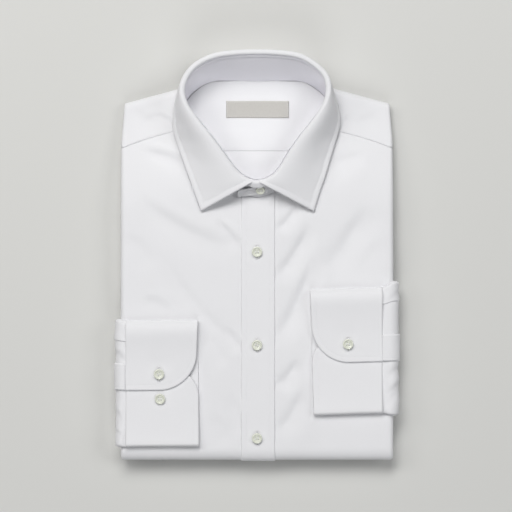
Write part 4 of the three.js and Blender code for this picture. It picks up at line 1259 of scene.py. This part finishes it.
class SHIRT_OT_placket(bpy.types.Operator):
    """Build the buttoned strip down the centre front"""

    bl_idname = "shirt.placket"
    bl_label = "Placket"

    def execute(self, context):
        body, placket = context.scene.shirt_body, context.scene.shirt_placket
        xs = spaced(placket.left, placket.right, body.step * 0.55)
        places = flat_places(xs)
        places[:, 1] = 1
        b = front_rows(body, xs, table_y(xs, NECK_FRONT) - 0.0004)
        plain = bag(body, places, b)
        edge = np.minimum(xs - placket.left, placket.right - xs)[:, None]
        across = (xs - placket.left)[:, None] / (placket.right - placket.left)
        rise = lerp(placket.rise_free, placket.rise, across) * smooth(b - 1)
        rise = rise + placket.fold_rise * np.sin(math.pi * np.clip(b - 1, 0, 1)) ** 2
        lift = margin_lift(edge, placket.stitch_inset, puff=0.00004, groove=0.00008)
        wave = undulation(plain[..., 0] * 1.5, plain[..., 1], 0.00014) * smooth((b - 1.7) / 0.4)
        lift = np.where(b < 1.5, np.minimum(lift, 0), lift + wave)
        grid = bag(body, places, b, rise + lift)
        obj = shell("shirt_placket", grid, placket.thickness, palette()["shirt_cotton"], facing=1)
        finish_piece(obj, ["placket"])
        normals = grid_normals(grid, False)
        shown = np.flatnonzero(b[0] > 1.3)
        lines = []
        for target in (placket.left + placket.stitch_inset, placket.right - placket.stitch_inset):
            column = int(np.argmin(np.abs(xs - target)))
            lines.append(grid[column, shown] + normals[column, shown] * THREAD_LIFT)
        sew("placket_stitches", lines)
        return {"FINISHED"}


class SHIRT_OT_yoke(bpy.types.Operator):
    """Build the outer yoke over both shoulders and down the back underneath"""

    bl_idname = "shirt.yoke"
    bl_label = "Yoke"

    def execute(self, context):
        body = context.scene.shirt_body
        half = body.half_width - body.side_radius
        left = side_places(body, -1)[::-1]
        flat = flat_places(spaced(-half, half, body.step * 1.3)[1:-1])
        places = np.vstack([left, flat, side_places(body, 1)])
        x = places[:, 0]
        start = np.where(np.abs(x) < 0.074, np.maximum(seam_y(x), table_y(x, NECK_BACK)), seam_y(x))
        b = yoke_rows(body, x, start)
        plain = bag(body, places, b)
        lift = body_lift(body, plain, b, places[:, 2:3], YOKE_CREASES)
        from_seam = np.abs(plain[..., 1] - start[:, None])
        margin = 0.0001 + margin_lift(from_seam, YOKE_INSET, puff=0.00003, groove=0.00005)
        lift = lift + np.where(b < 3, margin, 0) * (np.abs(x)[:, None] > 0.06)
        grid = bag(body, places, b, lift)
        obj = shell("shirt_yoke", grid, body.cloth * 1.6, palette()["shirt_cotton"], facing=1)
        finish_piece(obj, ["yoke"])
        normals = grid_normals(grid, False)
        lines = []
        for keep in (x < -0.07, x > 0.07):
            chosen = np.flatnonzero(keep & (places[:, 2] < 1.7))
            line = []
            for c in chosen:
                r = int(np.argmin(np.abs(from_seam[c, :30] - YOKE_INSET)))
                line.append(grid[c, r] + normals[c, r] * THREAD_LIFT)
            lines.append(np.array(line))
        sew("yoke_stitches", lines)
        return {"FINISHED"}


CREVICE_DEPTH = 0.0034
CREVICE_WIDTH = 0.0010


def half_outline(points, side):
    """One side of a ring round the neck, as rising y and the half width there."""
    half = points[: len(points) // 2 + 1] if side < 0 else points[len(points) // 2 :][::-1]
    y = np.maximum.accumulate(half[:, 1])
    return y, np.abs(half[:, 0])


def neck_panel(body, form, ys, raise_by, seam):
    """Cloth inside the neck: it fills the stand's foot and sinks in a narrow crevice along the roll."""
    stations = np.linspace(0, STATIONS, 385)
    ring, roll = form.base.at(stations), form.overhang(stations)
    across = np.linspace(0, 1, 71)
    sides = []
    for side in (-1, 1):
        foot_y, foot_x = half_outline(ring, side)
        roll_y, roll_x = half_outline(roll, side)
        foot = np.maximum(np.interp(ys, foot_y, foot_x) - 0.0006, 0.002)
        shown = np.where(ys > roll_y[0], np.interp(ys, roll_y, roll_x), 0)
        shown = np.clip(shown, 0.3 * foot, 0.97 * foot)
        marks = np.stack([0 * shown, np.maximum(shown - 0.0022, 0.5 * shown), shown, foot])
        x = np.array([np.interp(across, (0, 0.68, 0.9, 1), marks[:, i]) for i in range(len(ys))]).T
        sides.append(side * x)
    x = np.vstack([sides[0][::-1], sides[1][1:]])
    y = np.broadcast_to(ys[None, :], x.shape)
    reach = np.hypot(x[..., None] - roll[:, 0], y[..., None] - roll[:, 1]).min(axis=-1)
    limits = [np.where(y > o[0][0], np.interp(y, *o), 0) for o in (half_outline(roll, -1), half_outline(roll, 1))]
    inside = np.abs(x) < np.where(x < 0, *limits)
    distance = np.where(inside, reach, -reach)
    crevice = CREVICE_DEPTH * (1 - smooth((distance - 0.0002) / CREVICE_WIDTH)) * (1 - smooth((y - 0.125) / 0.012))
    soft = undulation(x * 1.3 + 0.2, y, 0.0003) - 0.0002 * np.exp(-(((y - seam) / 0.002) ** 2))
    level = neck_floor(body, y) + raise_by + soft - crevice
    seat = top_height(body, x, y) + 0.0011
    return stack(x, y, lerp(level, np.maximum(seat, level), smooth((-distance - 0.002) / 0.006)))


class SHIRT_OT_neck_inside(bpy.types.Operator):
    """Build what shows inside the neck: yoke lining, back panel and bare label"""

    bl_idname = "shirt.neck_inside"
    bl_label = "Inside of the neck"

    def execute(self, context):
        body, collar = context.scene.shirt_body, context.scene.shirt_collar
        form = CollarForm(body, collar)
        seam = 0.101
        lining = neck_panel(body, form, np.linspace(seam - 0.0004, 0.1688, 80), 0.0004, seam)
        obj = shell("shirt_yoke_lining", lining, 0.0008, palette()["shirt_cotton"], facing=1)
        finish_piece(obj, ["yoke_lining"])
        stretches = [np.linspace(0.0578, 0.073, 8)[:-1], np.linspace(0.073, 0.0785, 28)[:-1]]
        back_y = np.concatenate([*stretches, np.linspace(0.0785, seam, 24)])
        back = neck_panel(body, form, back_y, 0.0, seam)
        obj = shell("shirt_back", back, body.cloth, palette()["shirt_cotton"], facing=1)
        finish_piece(obj, ["back"])
        lines = [lining[:, 3] + np.array([0, 0, THREAD_LIFT])]
        width, height, cx, cy = 0.0600, 0.0163, 0.0005, 0.1404
        u, v = np.meshgrid(np.linspace(-0.5, 0.5, 61), np.linspace(-0.5, 0.5, 21), indexing="ij")
        edge = np.minimum(0.5 - np.abs(u), (0.5 - np.abs(v)) * height / width) * width
        lift = -0.00035 * (1 - smooth(edge / 0.0008)) + undulation(u * 0.06, v * 0.02, 0.0002)
        label_y = cy + v * height
        label = stack(cx + u * width, label_y, neck_floor(body, label_y) + 0.0012 + lift)
        obj = shell("shirt_neck_label", label, 0.0005, palette()["label_cloth"], facing=1)
        finish_piece(obj, ["neck_label"])
        inset = 0.0009
        corners = [(-1, -1), (1, -1), (1, 1), (-1, 1), (-1, -1)]
        border = []
        for (ax, ay), (bx, by) in zip(corners, corners[1:]):
            for k in np.linspace(0, 1, 30):
                x = cx + lerp(ax, bx, k) * (width / 2 - inset)
                y = cy + lerp(ay, by, k) * (height / 2 - inset)
                border.append((x, y, float(neck_floor(body, y)) + 0.00122))
        lines.append(np.array(border))
        sew("neck_stitches", lines)
        return {"FINISHED"}


class SHIRT_OT_collar(bpy.types.Operator):
    """Build the collar stand and the leaf rolled over its top"""

    bl_idname = "shirt.collar"
    bl_label = "Collar"

    def execute(self, context):
        body, s = context.scene.shirt_body, context.scene.shirt_collar
        form = CollarForm(body, s)
        cloth = palette()["shirt_cotton"]
        stations = np.linspace(0, STATIONS, s.samples + 1)[:-1]
        heights = np.linspace(0, 1, 22)
        stand = form.stand(stations, heights)
        tab = tab_grid()
        tab_facing = 1 if grid_normals(tab, False)[20, 8, 1] < 0 else -1
        parts = [shell_arrays(stand, s.wall, True, 1), shell_arrays(tab, 0.0011, False, tab_facing)]
        obj = joined("shirt_collar_stand", parts, cloth)
        # The stand's points take the lighter inner tone, painted light for the shade inside the collar.
        mark_inner_side(obj, np.arange(len(obj.data.vertices)) < stand[..., 0].size)
        finish_piece(obj, ["collar_stand"])
        stations = np.linspace(LEAF_START, LEAF_END, s.samples)
        leaf = form.leaf(stations, ROLL_STEPS, 44)
        to_edge = arc_lengths(leaf, 1)
        to_edge = to_edge[:, -1:] - to_edge
        along = arc_lengths(leaf, 0)
        to_front = np.minimum(along, along[-1:] - along)
        distance = np.minimum(to_edge, to_front)
        visible = np.arange(leaf.shape[1])[None, :] > len(NOTCH_HEIGHTS) + ROLL_STEPS - 1
        curl = s.margin_curl * (1 - smooth(distance / (s.stitch_inset + 0.0006)))
        lift = np.where(visible, margin_lift(distance, s.stitch_inset) + curl, 0)
        x, y = leaf[..., 0], leaf[..., 1]
        lift = lift + crease_field(x, y, LEAF_CREASES) * visible + undulation(x * 1.2, y, 0.0002) * visible
        normals = grid_normals(leaf, False)
        leaf = leaf + normals * lift[..., None]
        bridge = roll_bridge(form, s)
        bridge_facing = 1 if grid_normals(bridge, False)[15, 7, 2] > 0 else -1
        parts = [shell_arrays(leaf, s.wall, False, 1), shell_arrays(bridge, s.wall * 0.7, False, bridge_facing)]
        obj = joined("shirt_collar_leaf", parts, cloth)
        index = np.arange(len(obj.data.vertices))
        # The leaf's inner rows take the same painted light.
        mark_inner_side(obj, (index < 2 * leaf[..., 0].size) & (index % leaf.shape[1] <= len(NOTCH_HEIGHTS)))
        finish_piece(obj, ["collar_leaf"])
        lines = self.topstitch(leaf, normals, to_edge, to_front, s.stitch_inset)
        sew("collar_stitches", lines)
        return {"FINISHED"}

    @staticmethod
    def topstitch(leaf, normals, to_edge, to_front, inset):
        first = len(NOTCH_HEIGHTS) + ROLL_STEPS + 1
        raised = leaf + normals * THREAD_LIFT
        edge = inset_line(raised[:, first:], to_edge[:, first:], inset)
        keep = [i for i in range(len(edge)) if min(to_front[i, -1], to_front[i, first]) > inset * 0.98]
        across, distance = np.swapaxes(raised, 0, 1)[first:], np.swapaxes(to_front, 0, 1)[first:]
        start = inset_line(across[:, :40], distance[:, :40], inset)
        finish = inset_line(across[:, -40:], distance[:, -40:], inset)
        rows = [i for i in range(len(start)) if to_edge[0, first + i] > inset]
        return [np.vstack([start[rows], edge[keep], finish[rows][::-1]])]


class SHIRT_OT_cuffs(bpy.types.Operator):
    """Build both sleeve ends, their plackets and the cuffs laid on the fronts"""

    bl_idname = "shirt.cuffs"
    bl_label = "Sleeve ends and cuffs"

    def execute(self, context):
        body, s = context.scene.shirt_body, context.scene.shirt_cuff
        cloth = palette()["shirt_cotton"]
        lines = []
        for cuff in cuffs():
            name = cuff["name"]
            grid = sleeve_grid(body, s, cuff)
            ring = np.swapaxes(grid, 0, 1)
            sleeve = shell(f"shirt_{name}_sleeve", ring, SLEEVE_WALL, cloth, ring=True, facing=cuff["side"])
            finish_piece(sleeve, [f"{name}_sleeve"])
            self.gauntlet(body, s, cuff, cloth, lines)
            grid, corner, layer, path = cuff_grid(body, s, cuff)
            piece = shell(f"shirt_{name}_cuff", grid, s.wall, cloth, facing=-cuff["side"])
            finish_piece(piece, [f"{name}_cuff"])
            lines += self.topstitch(grid, corner, layer, path, s.stitch_inset)
        sew("cuff_stitches", lines)
        return {"FINISHED"}

    @staticmethod
    def gauntlet(body, s, cuff, cloth, lines):
        places, nz, _ = sleeve_path(body, s, cuff, 0.0)
        low = cuff_place(cuff, cuff["seam"], cuff["flap"], 0)[1] + 0.0006
        v = np.linspace(0, 1, 33)[None, :]
        y = low + s.gauntlet_width * v
        edge = np.minimum(v, 1 - v) * s.gauntlet_width
        keep = slice(12, None)
        x, z, nx = places[keep, 0:1], places[keep, 1:2], places[keep, 2:3]
        beside = (1 - smooth((np.abs(x) - abs(cuff["seam"])) / 0.004)) * (nz[keep, None] > 0.5)
        margin = margin_lift(edge, 0.0022, puff=0.0001, groove=0.0002) * 0.8
        away = s.sleeve_thick / 2 + GAUNTLET_WALL + margin - 0.0005 * beside
        grid = stack(x + nx * away, y, z + nz[keep, None] * away)
        name = cuff["name"]
        piece = shell(f"shirt_{name}_gauntlet", grid, GAUNTLET_WALL, cloth, facing=cuff["side"])
        finish_piece(piece, [f"{name}_gauntlet"])
        normals = grid_normals(grid, False) * cuff["side"]
        for column in (3, 29):
            lines.append(grid[:, column] + normals[:, column] * THREAD_LIFT)

    @staticmethod
    def topstitch(grid, corner, layer, path, inset):
        """Along the flap's end and hem, and along the underlap's hem, where they show."""
        normals = grid_normals(grid, False)
        up = np.where(normals[..., 2:3] < 0, -normals, normals)
        raised = grid + up * THREAD_LIFT
        lines = []
        flap = np.flatnonzero((layer[:, 0] == 2) & (path[:, 3] > 0.95))
        hem = [i for i in flap if path[i, 4] > inset * 1.4]
        side = inset_line(raised[hem][:, 20:], corner[hem][:, 20:], inset)
        end_rows = raised[flap]

        def crossing(c):
            return [np.interp(inset, corner[flap, c][::-1], end_rows[::-1, c, k]) for k in range(3)]

        end = np.array([crossing(c) for c in range(end_rows.shape[1] - 14)])
        lines.append(np.vstack([side, end[::-1]]))
        low = [i for i in np.flatnonzero(layer[:, 0] == 0) if path[i, 4] > 0.032]
        lines.append(inset_line(raised[low][:, 20:], corner[low][:, 20:], inset))
        return lines


def lathe(outline, segments, matrix):
    """Points, faces and uvs of a turned shape whose outline starts and ends on the axis."""
    ring = 2 * math.pi * np.arange(segments) / segments
    rows = np.array([[(r * math.cos(a), r * math.sin(a), z) for a in ring] for r, z in outline])
    points = rows.reshape(-1, 3)
    index = np.arange(len(points)).reshape(len(outline), segments)
    points = np.array([matrix @ Vector(p) for p in points])
    return points, wrapped_faces(index), points[:, :2]


def button_template(s, material):
    """One button with four holes, made once and copied."""
    r, t = s.radius, s.thickness
    outline = [
        (1e-6, 0), (0.62 * r, 0), (0.86 * r, 0.12 * t), (0.97 * r, 0.35 * t), (r, 0.58 * t),
        (0.985 * r, 0.76 * t), (0.93 * r, 0.92 * t), (0.85 * r, t), (0.77 * r, 0.97 * t),
        (0.69 * r, 0.84 * t), (0.62 * r, 0.70 * t), (0.54 * r, 0.62 * t), (0.3 * r, 0.58 * t), (1e-6, 0.57 * t),
    ]
    body = joined("button_template", [lathe(outline, 56, Matrix.Identity(4))], material)
    hole = [(1e-6, -0.001), (s.hole_radius, -0.001), (s.hole_radius, t + 0.001), (1e-6, t + 0.001)]
    drills = []
    for sx in (-1, 1):
        for sy in (-1, 1):
            drills.append(lathe(hole, 18, Matrix.Translation((sx * s.hole_pitch, sy * s.hole_pitch, 0))))
    drill = joined("button_drill", drills, material)
    for obj in (body, drill):
        mesh = obj.data
        work = bmesh.new()
        work.from_mesh(mesh)
        bmesh.ops.remove_doubles(work, verts=work.verts, dist=5e-6)
        work.to_mesh(mesh)
        work.free()
    cut = body.modifiers.new("holes", "BOOLEAN")
    cut.object = drill
    cut.solver = "EXACT"
    graph = bpy.context.evaluated_depsgraph_get()
    mesh = bpy.data.meshes.new_from_object(body.evaluated_get(graph), depsgraph=graph)
    smooth_faces(mesh)
    bpy.data.objects.remove(body)
    bpy.data.objects.remove(drill)
    return mesh


# name, x, y, turn in degrees, what it sits on
BUTTON_SPOTS = [
    ("button_front_1", 0.0, 0.0043, 8, "placket"),
    ("button_front_2", 0.0, -0.0841, -20, "placket"),
    ("button_front_3", 0.0, -0.1724, 14, "placket"),
    ("button_cuff_right_upper", -0.0927, -0.1113, 25, "flap"),
    ("button_cuff_right_lower", -0.0918, -0.1349, 3, "under"),
    ("button_cuff_left", 0.0861, -0.0829, -12, "flap"),
]


def thread_bars(s, matrix, radius=0.000252):
    """The sewing thread that shows on a button: two bars over the holes."""
    made = []
    top = 0.60 * s.thickness
    for sx in (-1, 1):
        for shift in (-0.00017, 0.00017):
            points = []
            for k in np.linspace(-1, 1, 9):
                lift = 0.0006 * (1 - k**4)
                points.append((sx * s.hole_pitch + shift, k * s.hole_pitch, top - 0.0003 + lift))
            ring = np.linspace(0, 2 * math.pi, 9)[:-1]
            rows = [[(x + radius * math.cos(a), y, z + radius * math.sin(a)) for a in ring] for x, y, z in points]
            flat = np.array([matrix @ Vector(p) for row in rows for p in row])
            index = np.arange(len(flat)).reshape(len(points), len(ring))
            made.append((flat, wrapped_faces(index), flat[:, :2]))
    return made


def buttonhole_arrays(matrix, size, half_wide=0.0012, bead=0.0005):
    """A satin-stitched rim round a slit, as a low rounded bead."""
    half = size / 2 - half_wide
    turns = np.linspace(-math.pi / 2, math.pi / 2, 13)
    outline = [(half_wide * math.sin(a), half + half_wide * math.cos(a)) for a in turns]
    right = [(half_wide, y) for y in np.linspace(half, -half, 61)[1:-1]]
    low = [(x, -y) for x, y in outline[::-1]]
    left = [(-half_wide, y) for y in np.linspace(-half, half, 61)[1:-1]]
    path = np.array(outline + right + low + left)
    n = len(path)
    tangent = unit(np.roll(path, -1, axis=0) - np.roll(path, 1, axis=0))
    normal = np.stack([tangent[:, 1], -tangent[:, 0]], axis=-1)
    ring = np.linspace(0, math.pi, 7)
    rows = []
    for (x, y), (across_x, across_y) in zip(path, normal * bead):
        rows.append([
            (x - across_x * math.cos(a), y - across_y * math.cos(a), bead * 0.55 * math.sin(a)) for a in ring
        ])
    rows = np.array(rows)
    index = np.arange(n * len(ring)).reshape(n, len(ring))
    index = np.vstack([index, index[:1]])
    faces = np.stack([index[:-1, :-1], index[1:, :-1], index[1:, 1:], index[:-1, 1:]], axis=-1).reshape(-1, 4)
    close = np.stack([index[:-1, -1], index[1:, -1], index[1:, 0], index[:-1, 0]], axis=-1)
    flat = np.array([matrix @ Vector(p) for p in rows.reshape(-1, 3)])
    return flat, np.concatenate([faces, close]), flat[:, :2]


class SHIRT_OT_buttons(bpy.types.Operator):
    """Build the buttons, the thread on them and the buttonholes"""

    bl_idname = "shirt.buttons"
    bl_label = "Buttons and buttonholes"

    def execute(self, context):
        body, s = context.scene.shirt_body, context.scene.shirt_button
        placket, cuff = context.scene.shirt_placket, context.scene.shirt_cuff
        colours = palette()
        template = button_template(s, colours["button_pearl"])
        _, under, flap = cuff_levels(body, cuff)
        heights = {
            "placket": body.thickness + placket.rise + 0.0003,
            "flap": flap + 0.0012,
            "under": under + 0.0012,
        }
        bars, holes = [], []
        spots = []
        for name, x, y, turn, seat in BUTTON_SPOTS:
            matrix = Matrix.Translation((x, y, heights[seat])) @ Matrix.Rotation(math.radians(turn), 4, "Z")
            spots.append((name, matrix, 1.0))
            if seat != "under":
                hole = Matrix.Translation((x, y, heights[seat] - 0.0003))
                holes.append(buttonhole_arrays(hole, s.buttonhole))
        spots.append(("button_collar", self.tab_place(0.0032), 0.86))
        across = Matrix.Rotation(math.pi / 2, 4, "Z")
        holes.append(buttonhole_arrays(self.tab_place(-0.0052) @ across, s.buttonhole * 0.65, 0.001, 0.0004))
        for name, matrix, size in spots:
            mesh = template.copy()
            mesh.name = "shirt_" + name
            mesh.transform(matrix @ Matrix.Scale(size, 4))
            finish_piece(place_object("shirt_" + name, mesh), [name])
            bars += thread_bars(s, matrix @ Matrix.Scale(size, 4))
        bpy.data.meshes.remove(template)
        finish_piece(joined("button_thread", bars, colours["sewing_thread"]))
        finish_piece(joined("buttonholes", holes, colours["sewing_thread"]))
        return {"FINISHED"}

    @staticmethod
    def tab_place(x):
        """A place on the middle line of the tab, with Z standing out of it."""
        share = (x - TAB_BOTTOM[0][0]) / (TAB_BOTTOM[1][0] - TAB_BOTTOM[0][0])
        low = lerp(np.array(TAB_BOTTOM[0]), np.array(TAB_BOTTOM[1]), share)
        high = lerp(np.array(TAB_TOP[0]), np.array(TAB_TOP[1]), share)
        along = Vector(unit(np.array(TAB_TOP[0]) + TAB_BOTTOM[0] - np.array(TAB_TOP[1]) - TAB_BOTTOM[1]))
        normal = along.cross(Vector(high - low)).normalized()
        turned = Matrix((along, normal.cross(along), normal)).transposed().to_4x4()
        return Matrix.Translation(Vector((low + high) / 2) + normal * 0.0002) @ turned


class SHIRT_OT_layers(bpy.types.Operator):
    """Build the edges of the hidden layers that show between the side folds"""

    bl_idname = "shirt.layers"
    bl_label = "Hidden layers"

    def execute(self, context):
        body = context.scene.shirt_body
        edges = [self.edge(body, side, k) for side in (-1, 1) for k in range(3)]
        obj = joined("shirt_folded_layers", [*edges, self.underside(body)], palette()["shirt_cotton"])
        finish_piece(obj, ["folded_layers"])
        return {"FINISHED"}

    @staticmethod
    def edge(body, side, k):
        """One folded edge: in along the top, round, and in along the bottom."""
        y = np.linspace(body.bottom + 0.016, 0.138, 150)[None, :]
        x_ref = side * (body.half_width - body.side_radius)
        high = top_height(body, x_ref, y)
        full = smooth((shoulder_line(body, x_ref) - body.shoulder_radius - y) / body.shoulder_ramp)
        r = lerp(body.side_radius_shoulder, body.side_radius, full)
        low_gap = np.where(y < body.tail_hem, 2 * body.side_radius, 2 * body.side_radius_shoulder)
        gap_low, gap_high = low_gap + 0.0002, high - 2 * r - 0.0002
        pitch = (gap_high - gap_low) / 3
        mid = gap_low + pitch * (k + 0.5)
        radius = pitch * 0.44
        wander = 0.0012 * np.sin(y * 37 + k * 2.1 + side) + 0.0007 * np.sin(y * 91 + k * 4 + side * 2)
        reach = body.half_width - 0.0050 - 0.0011 * ((k * 2 + 1) % 3) + wander
        turns = np.linspace(math.pi / 2, -math.pi / 2, 9)
        cols = [(-0.03, 1.0), (-0.012, 1.0)] + [(None, a) for a in turns] + [(-0.012, -1.0), (-0.03, -1.0)]
        rows = []
        for back, a in cols:
            if back is None:
                px = side * (reach + radius * math.cos(a))
                pz = mid + radius * math.sin(a)
            else:
                px = side * (reach + back) + 0 * y
                pz = mid + radius * a
            rows.append(np.concatenate([px, y, pz], axis=0).T)
        grid = np.array(rows)
        return shell_arrays(grid, 0.0003, facing=side)

    @staticmethod
    def underside(body):
        """The strip of back that shows between the tail hem and the back yoke, with its folded sides."""
        radius, low = 0.00155, 0.0010
        reach = body.half_width - 0.0006 - radius
        turns = np.linspace(-math.pi / 2, math.pi / 2, 9)
        side = [(reach + radius * math.cos(a), low + radius + radius * math.sin(a)) for a in turns]
        side.append((reach - 0.008, low + 2 * radius))
        flat = [(x, low) for x in np.linspace(-reach, reach, 61)[1:-1]]
        path = np.array([(-x, z) for x, z in side[::-1]] + flat + side)
        y = np.linspace(body.tail_hem - 0.007, body.back_yoke_end + 0.007, 13)[None, :]
        return shell_arrays(stack(path[:, :1], y, path[:, 1:]), 0.0005, facing=-1)


class SHIRT_OT_stage(bpy.types.Operator):
    """Build the pale floor, the soft light and the camera straight above"""

    bl_idname = "shirt.stage"
    bl_label = "Stage"

    def execute(self, context):
        scene, s = context.scene, context.scene.shirt_stage
        half = s.floor_size / 2
        points = [(-half, -half, 0), (half, -half, 0), (half, half, 0), (-half, half, 0)]
        mesh = bpy.data.meshes.new("stage_floor")
        mesh.from_pydata(points, [], [(0, 1, 2, 3)])
        mesh.materials.append(palette()["stage_floor"])
        place_object("stage_floor", mesh)
        for name, where, target, size, power, color in LIGHTS:
            data = bpy.data.lights.new(name, "AREA")
            data.shape = "RECTANGLE"
            data.size, data.size_y = size
            data.energy = power
            data.color = color
            light = place_object(name, data)
            light.location = where
            aim = Vector(target) - Vector(where)
            light.rotation_mode = "QUATERNION"
            light.rotation_quaternion = aim.to_track_quat("-Z", "Y")
        world = bpy.data.worlds.new("studio_world")
        world.use_nodes = True
        background = world.node_tree.nodes["Background"]
        background.inputs["Color"].default_value = WORLD_COLOR
        background.inputs["Strength"].default_value = WORLD_STRENGTH
        scene.world = world
        scene.view_settings.view_transform = "Standard"
        scene.view_settings.look = "None"
        camera = bpy.data.cameras.new("camera")
        camera.sensor_width = SENSOR_WIDTH
        reach = s.camera_height - s.focus_height
        camera.lens = camera.sensor_width * reach / s.frame_width
        camera.clip_end = CAMERA_REACH
        eye = place_object("camera", camera)
        eye.location = (*CAMERA_OFFSET, s.camera_height)
        scene.camera = eye
        return {"FINISHED"}


# name, place, aimed at, size, power, colour
LIGHTS = [
    ("key_window", (-0.740, 1.393, 2.253), (0, 0, 0), (1.0, 1.0), 29.7, (1.0, 0.995, 0.985)),
    ("back_window", (0.0, 1.840, 2.044), (0, 0, 0), (0.9, 0.9), 22.2, (1.0, 0.995, 0.985)),
    ("left_window", (-1.853, 0.864, 1.840), (0, 0, 0), (1.0, 1.0), 12.2, (1.0, 0.99, 0.975)),
    ("right_fill", (1.879, 0.504, 1.945), (0, 0, 0), (1.1, 1.1), 14.7, (0.98, 0.99, 1.0)),
    ("front_fill", (0.0, -2.106, 1.768), (0, 0, 0), (1.5, 1.5), 20.3, (0.98, 0.99, 1.0)),
]
# The camera's film width in millimetres, how far it sees, and the x and y it stands over.
SENSOR_WIDTH = 36.0
CAMERA_REACH = 20
CAMERA_OFFSET = (-0.00095, 0.0005)
WORLD_COLOR = (0.96, 0.98, 1.0, 1)
WORLD_STRENGTH = 0.02


class SHIRT_PT_panel(bpy.types.Panel):
    """Shirt tools in the 3D view's sidebar"""

    bl_idname = "SHIRT_PT_panel"
    bl_label = "Folded Dress Shirt"
    bl_space_type = "VIEW_3D"
    bl_region_type = "UI"
    bl_category = "Shirt"

    def draw(self, context):
        for group, _ in GROUPS:
            settings = getattr(context.scene, group)
            box = self.layout.box()
            box.label(text=group.replace("shirt_", "").title())
            for key in settings.__annotations__:
                box.prop(settings, key)
        for operator in BUILD_ORDER:
            self.layout.operator(operator.bl_idname)


GROUPS = (
    ("shirt_body", ShirtBodySettings),
    ("shirt_placket", ShirtPlacketSettings),
    ("shirt_collar", ShirtCollarSettings),
    ("shirt_cuff", ShirtCuffSettings),
    ("shirt_button", ShirtButtonSettings),
    ("shirt_stitch", ShirtStitchSettings),
    ("shirt_stage", ShirtStageSettings),
    ("shirt_colors", ShirtColorSettings),
)
BUILD_ORDER = (
    SHIRT_OT_fronts,
    SHIRT_OT_placket,
    SHIRT_OT_yoke,
    SHIRT_OT_neck_inside,
    SHIRT_OT_collar,
    SHIRT_OT_cuffs,
    SHIRT_OT_buttons,
    SHIRT_OT_layers,
    SHIRT_OT_stage,
)


def register():
    for name, group in GROUPS:
        bpy.utils.register_class(group)
        setattr(bpy.types.Scene, name, bpy.props.PointerProperty(type=group))
    for operator in BUILD_ORDER:
        bpy.utils.register_class(operator)
    bpy.utils.register_class(SHIRT_PT_panel)


def unregister():
    bpy.utils.unregister_class(SHIRT_PT_panel)
    for operator in reversed(BUILD_ORDER):
        bpy.utils.unregister_class(operator)
    for name, group in reversed(GROUPS):
        delattr(bpy.types.Scene, name)
        bpy.utils.unregister_class(group)


def main():
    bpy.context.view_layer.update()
    register()
    bpy.ops.shirt.fronts()
    bpy.ops.shirt.placket()
    bpy.ops.shirt.yoke()
    bpy.ops.shirt.neck_inside()
    bpy.ops.shirt.collar()
    bpy.ops.shirt.cuffs()
    bpy.ops.shirt.buttons()
    bpy.ops.shirt.layers()
    bpy.ops.shirt.stage()


if __name__ == "__main__":
    main()
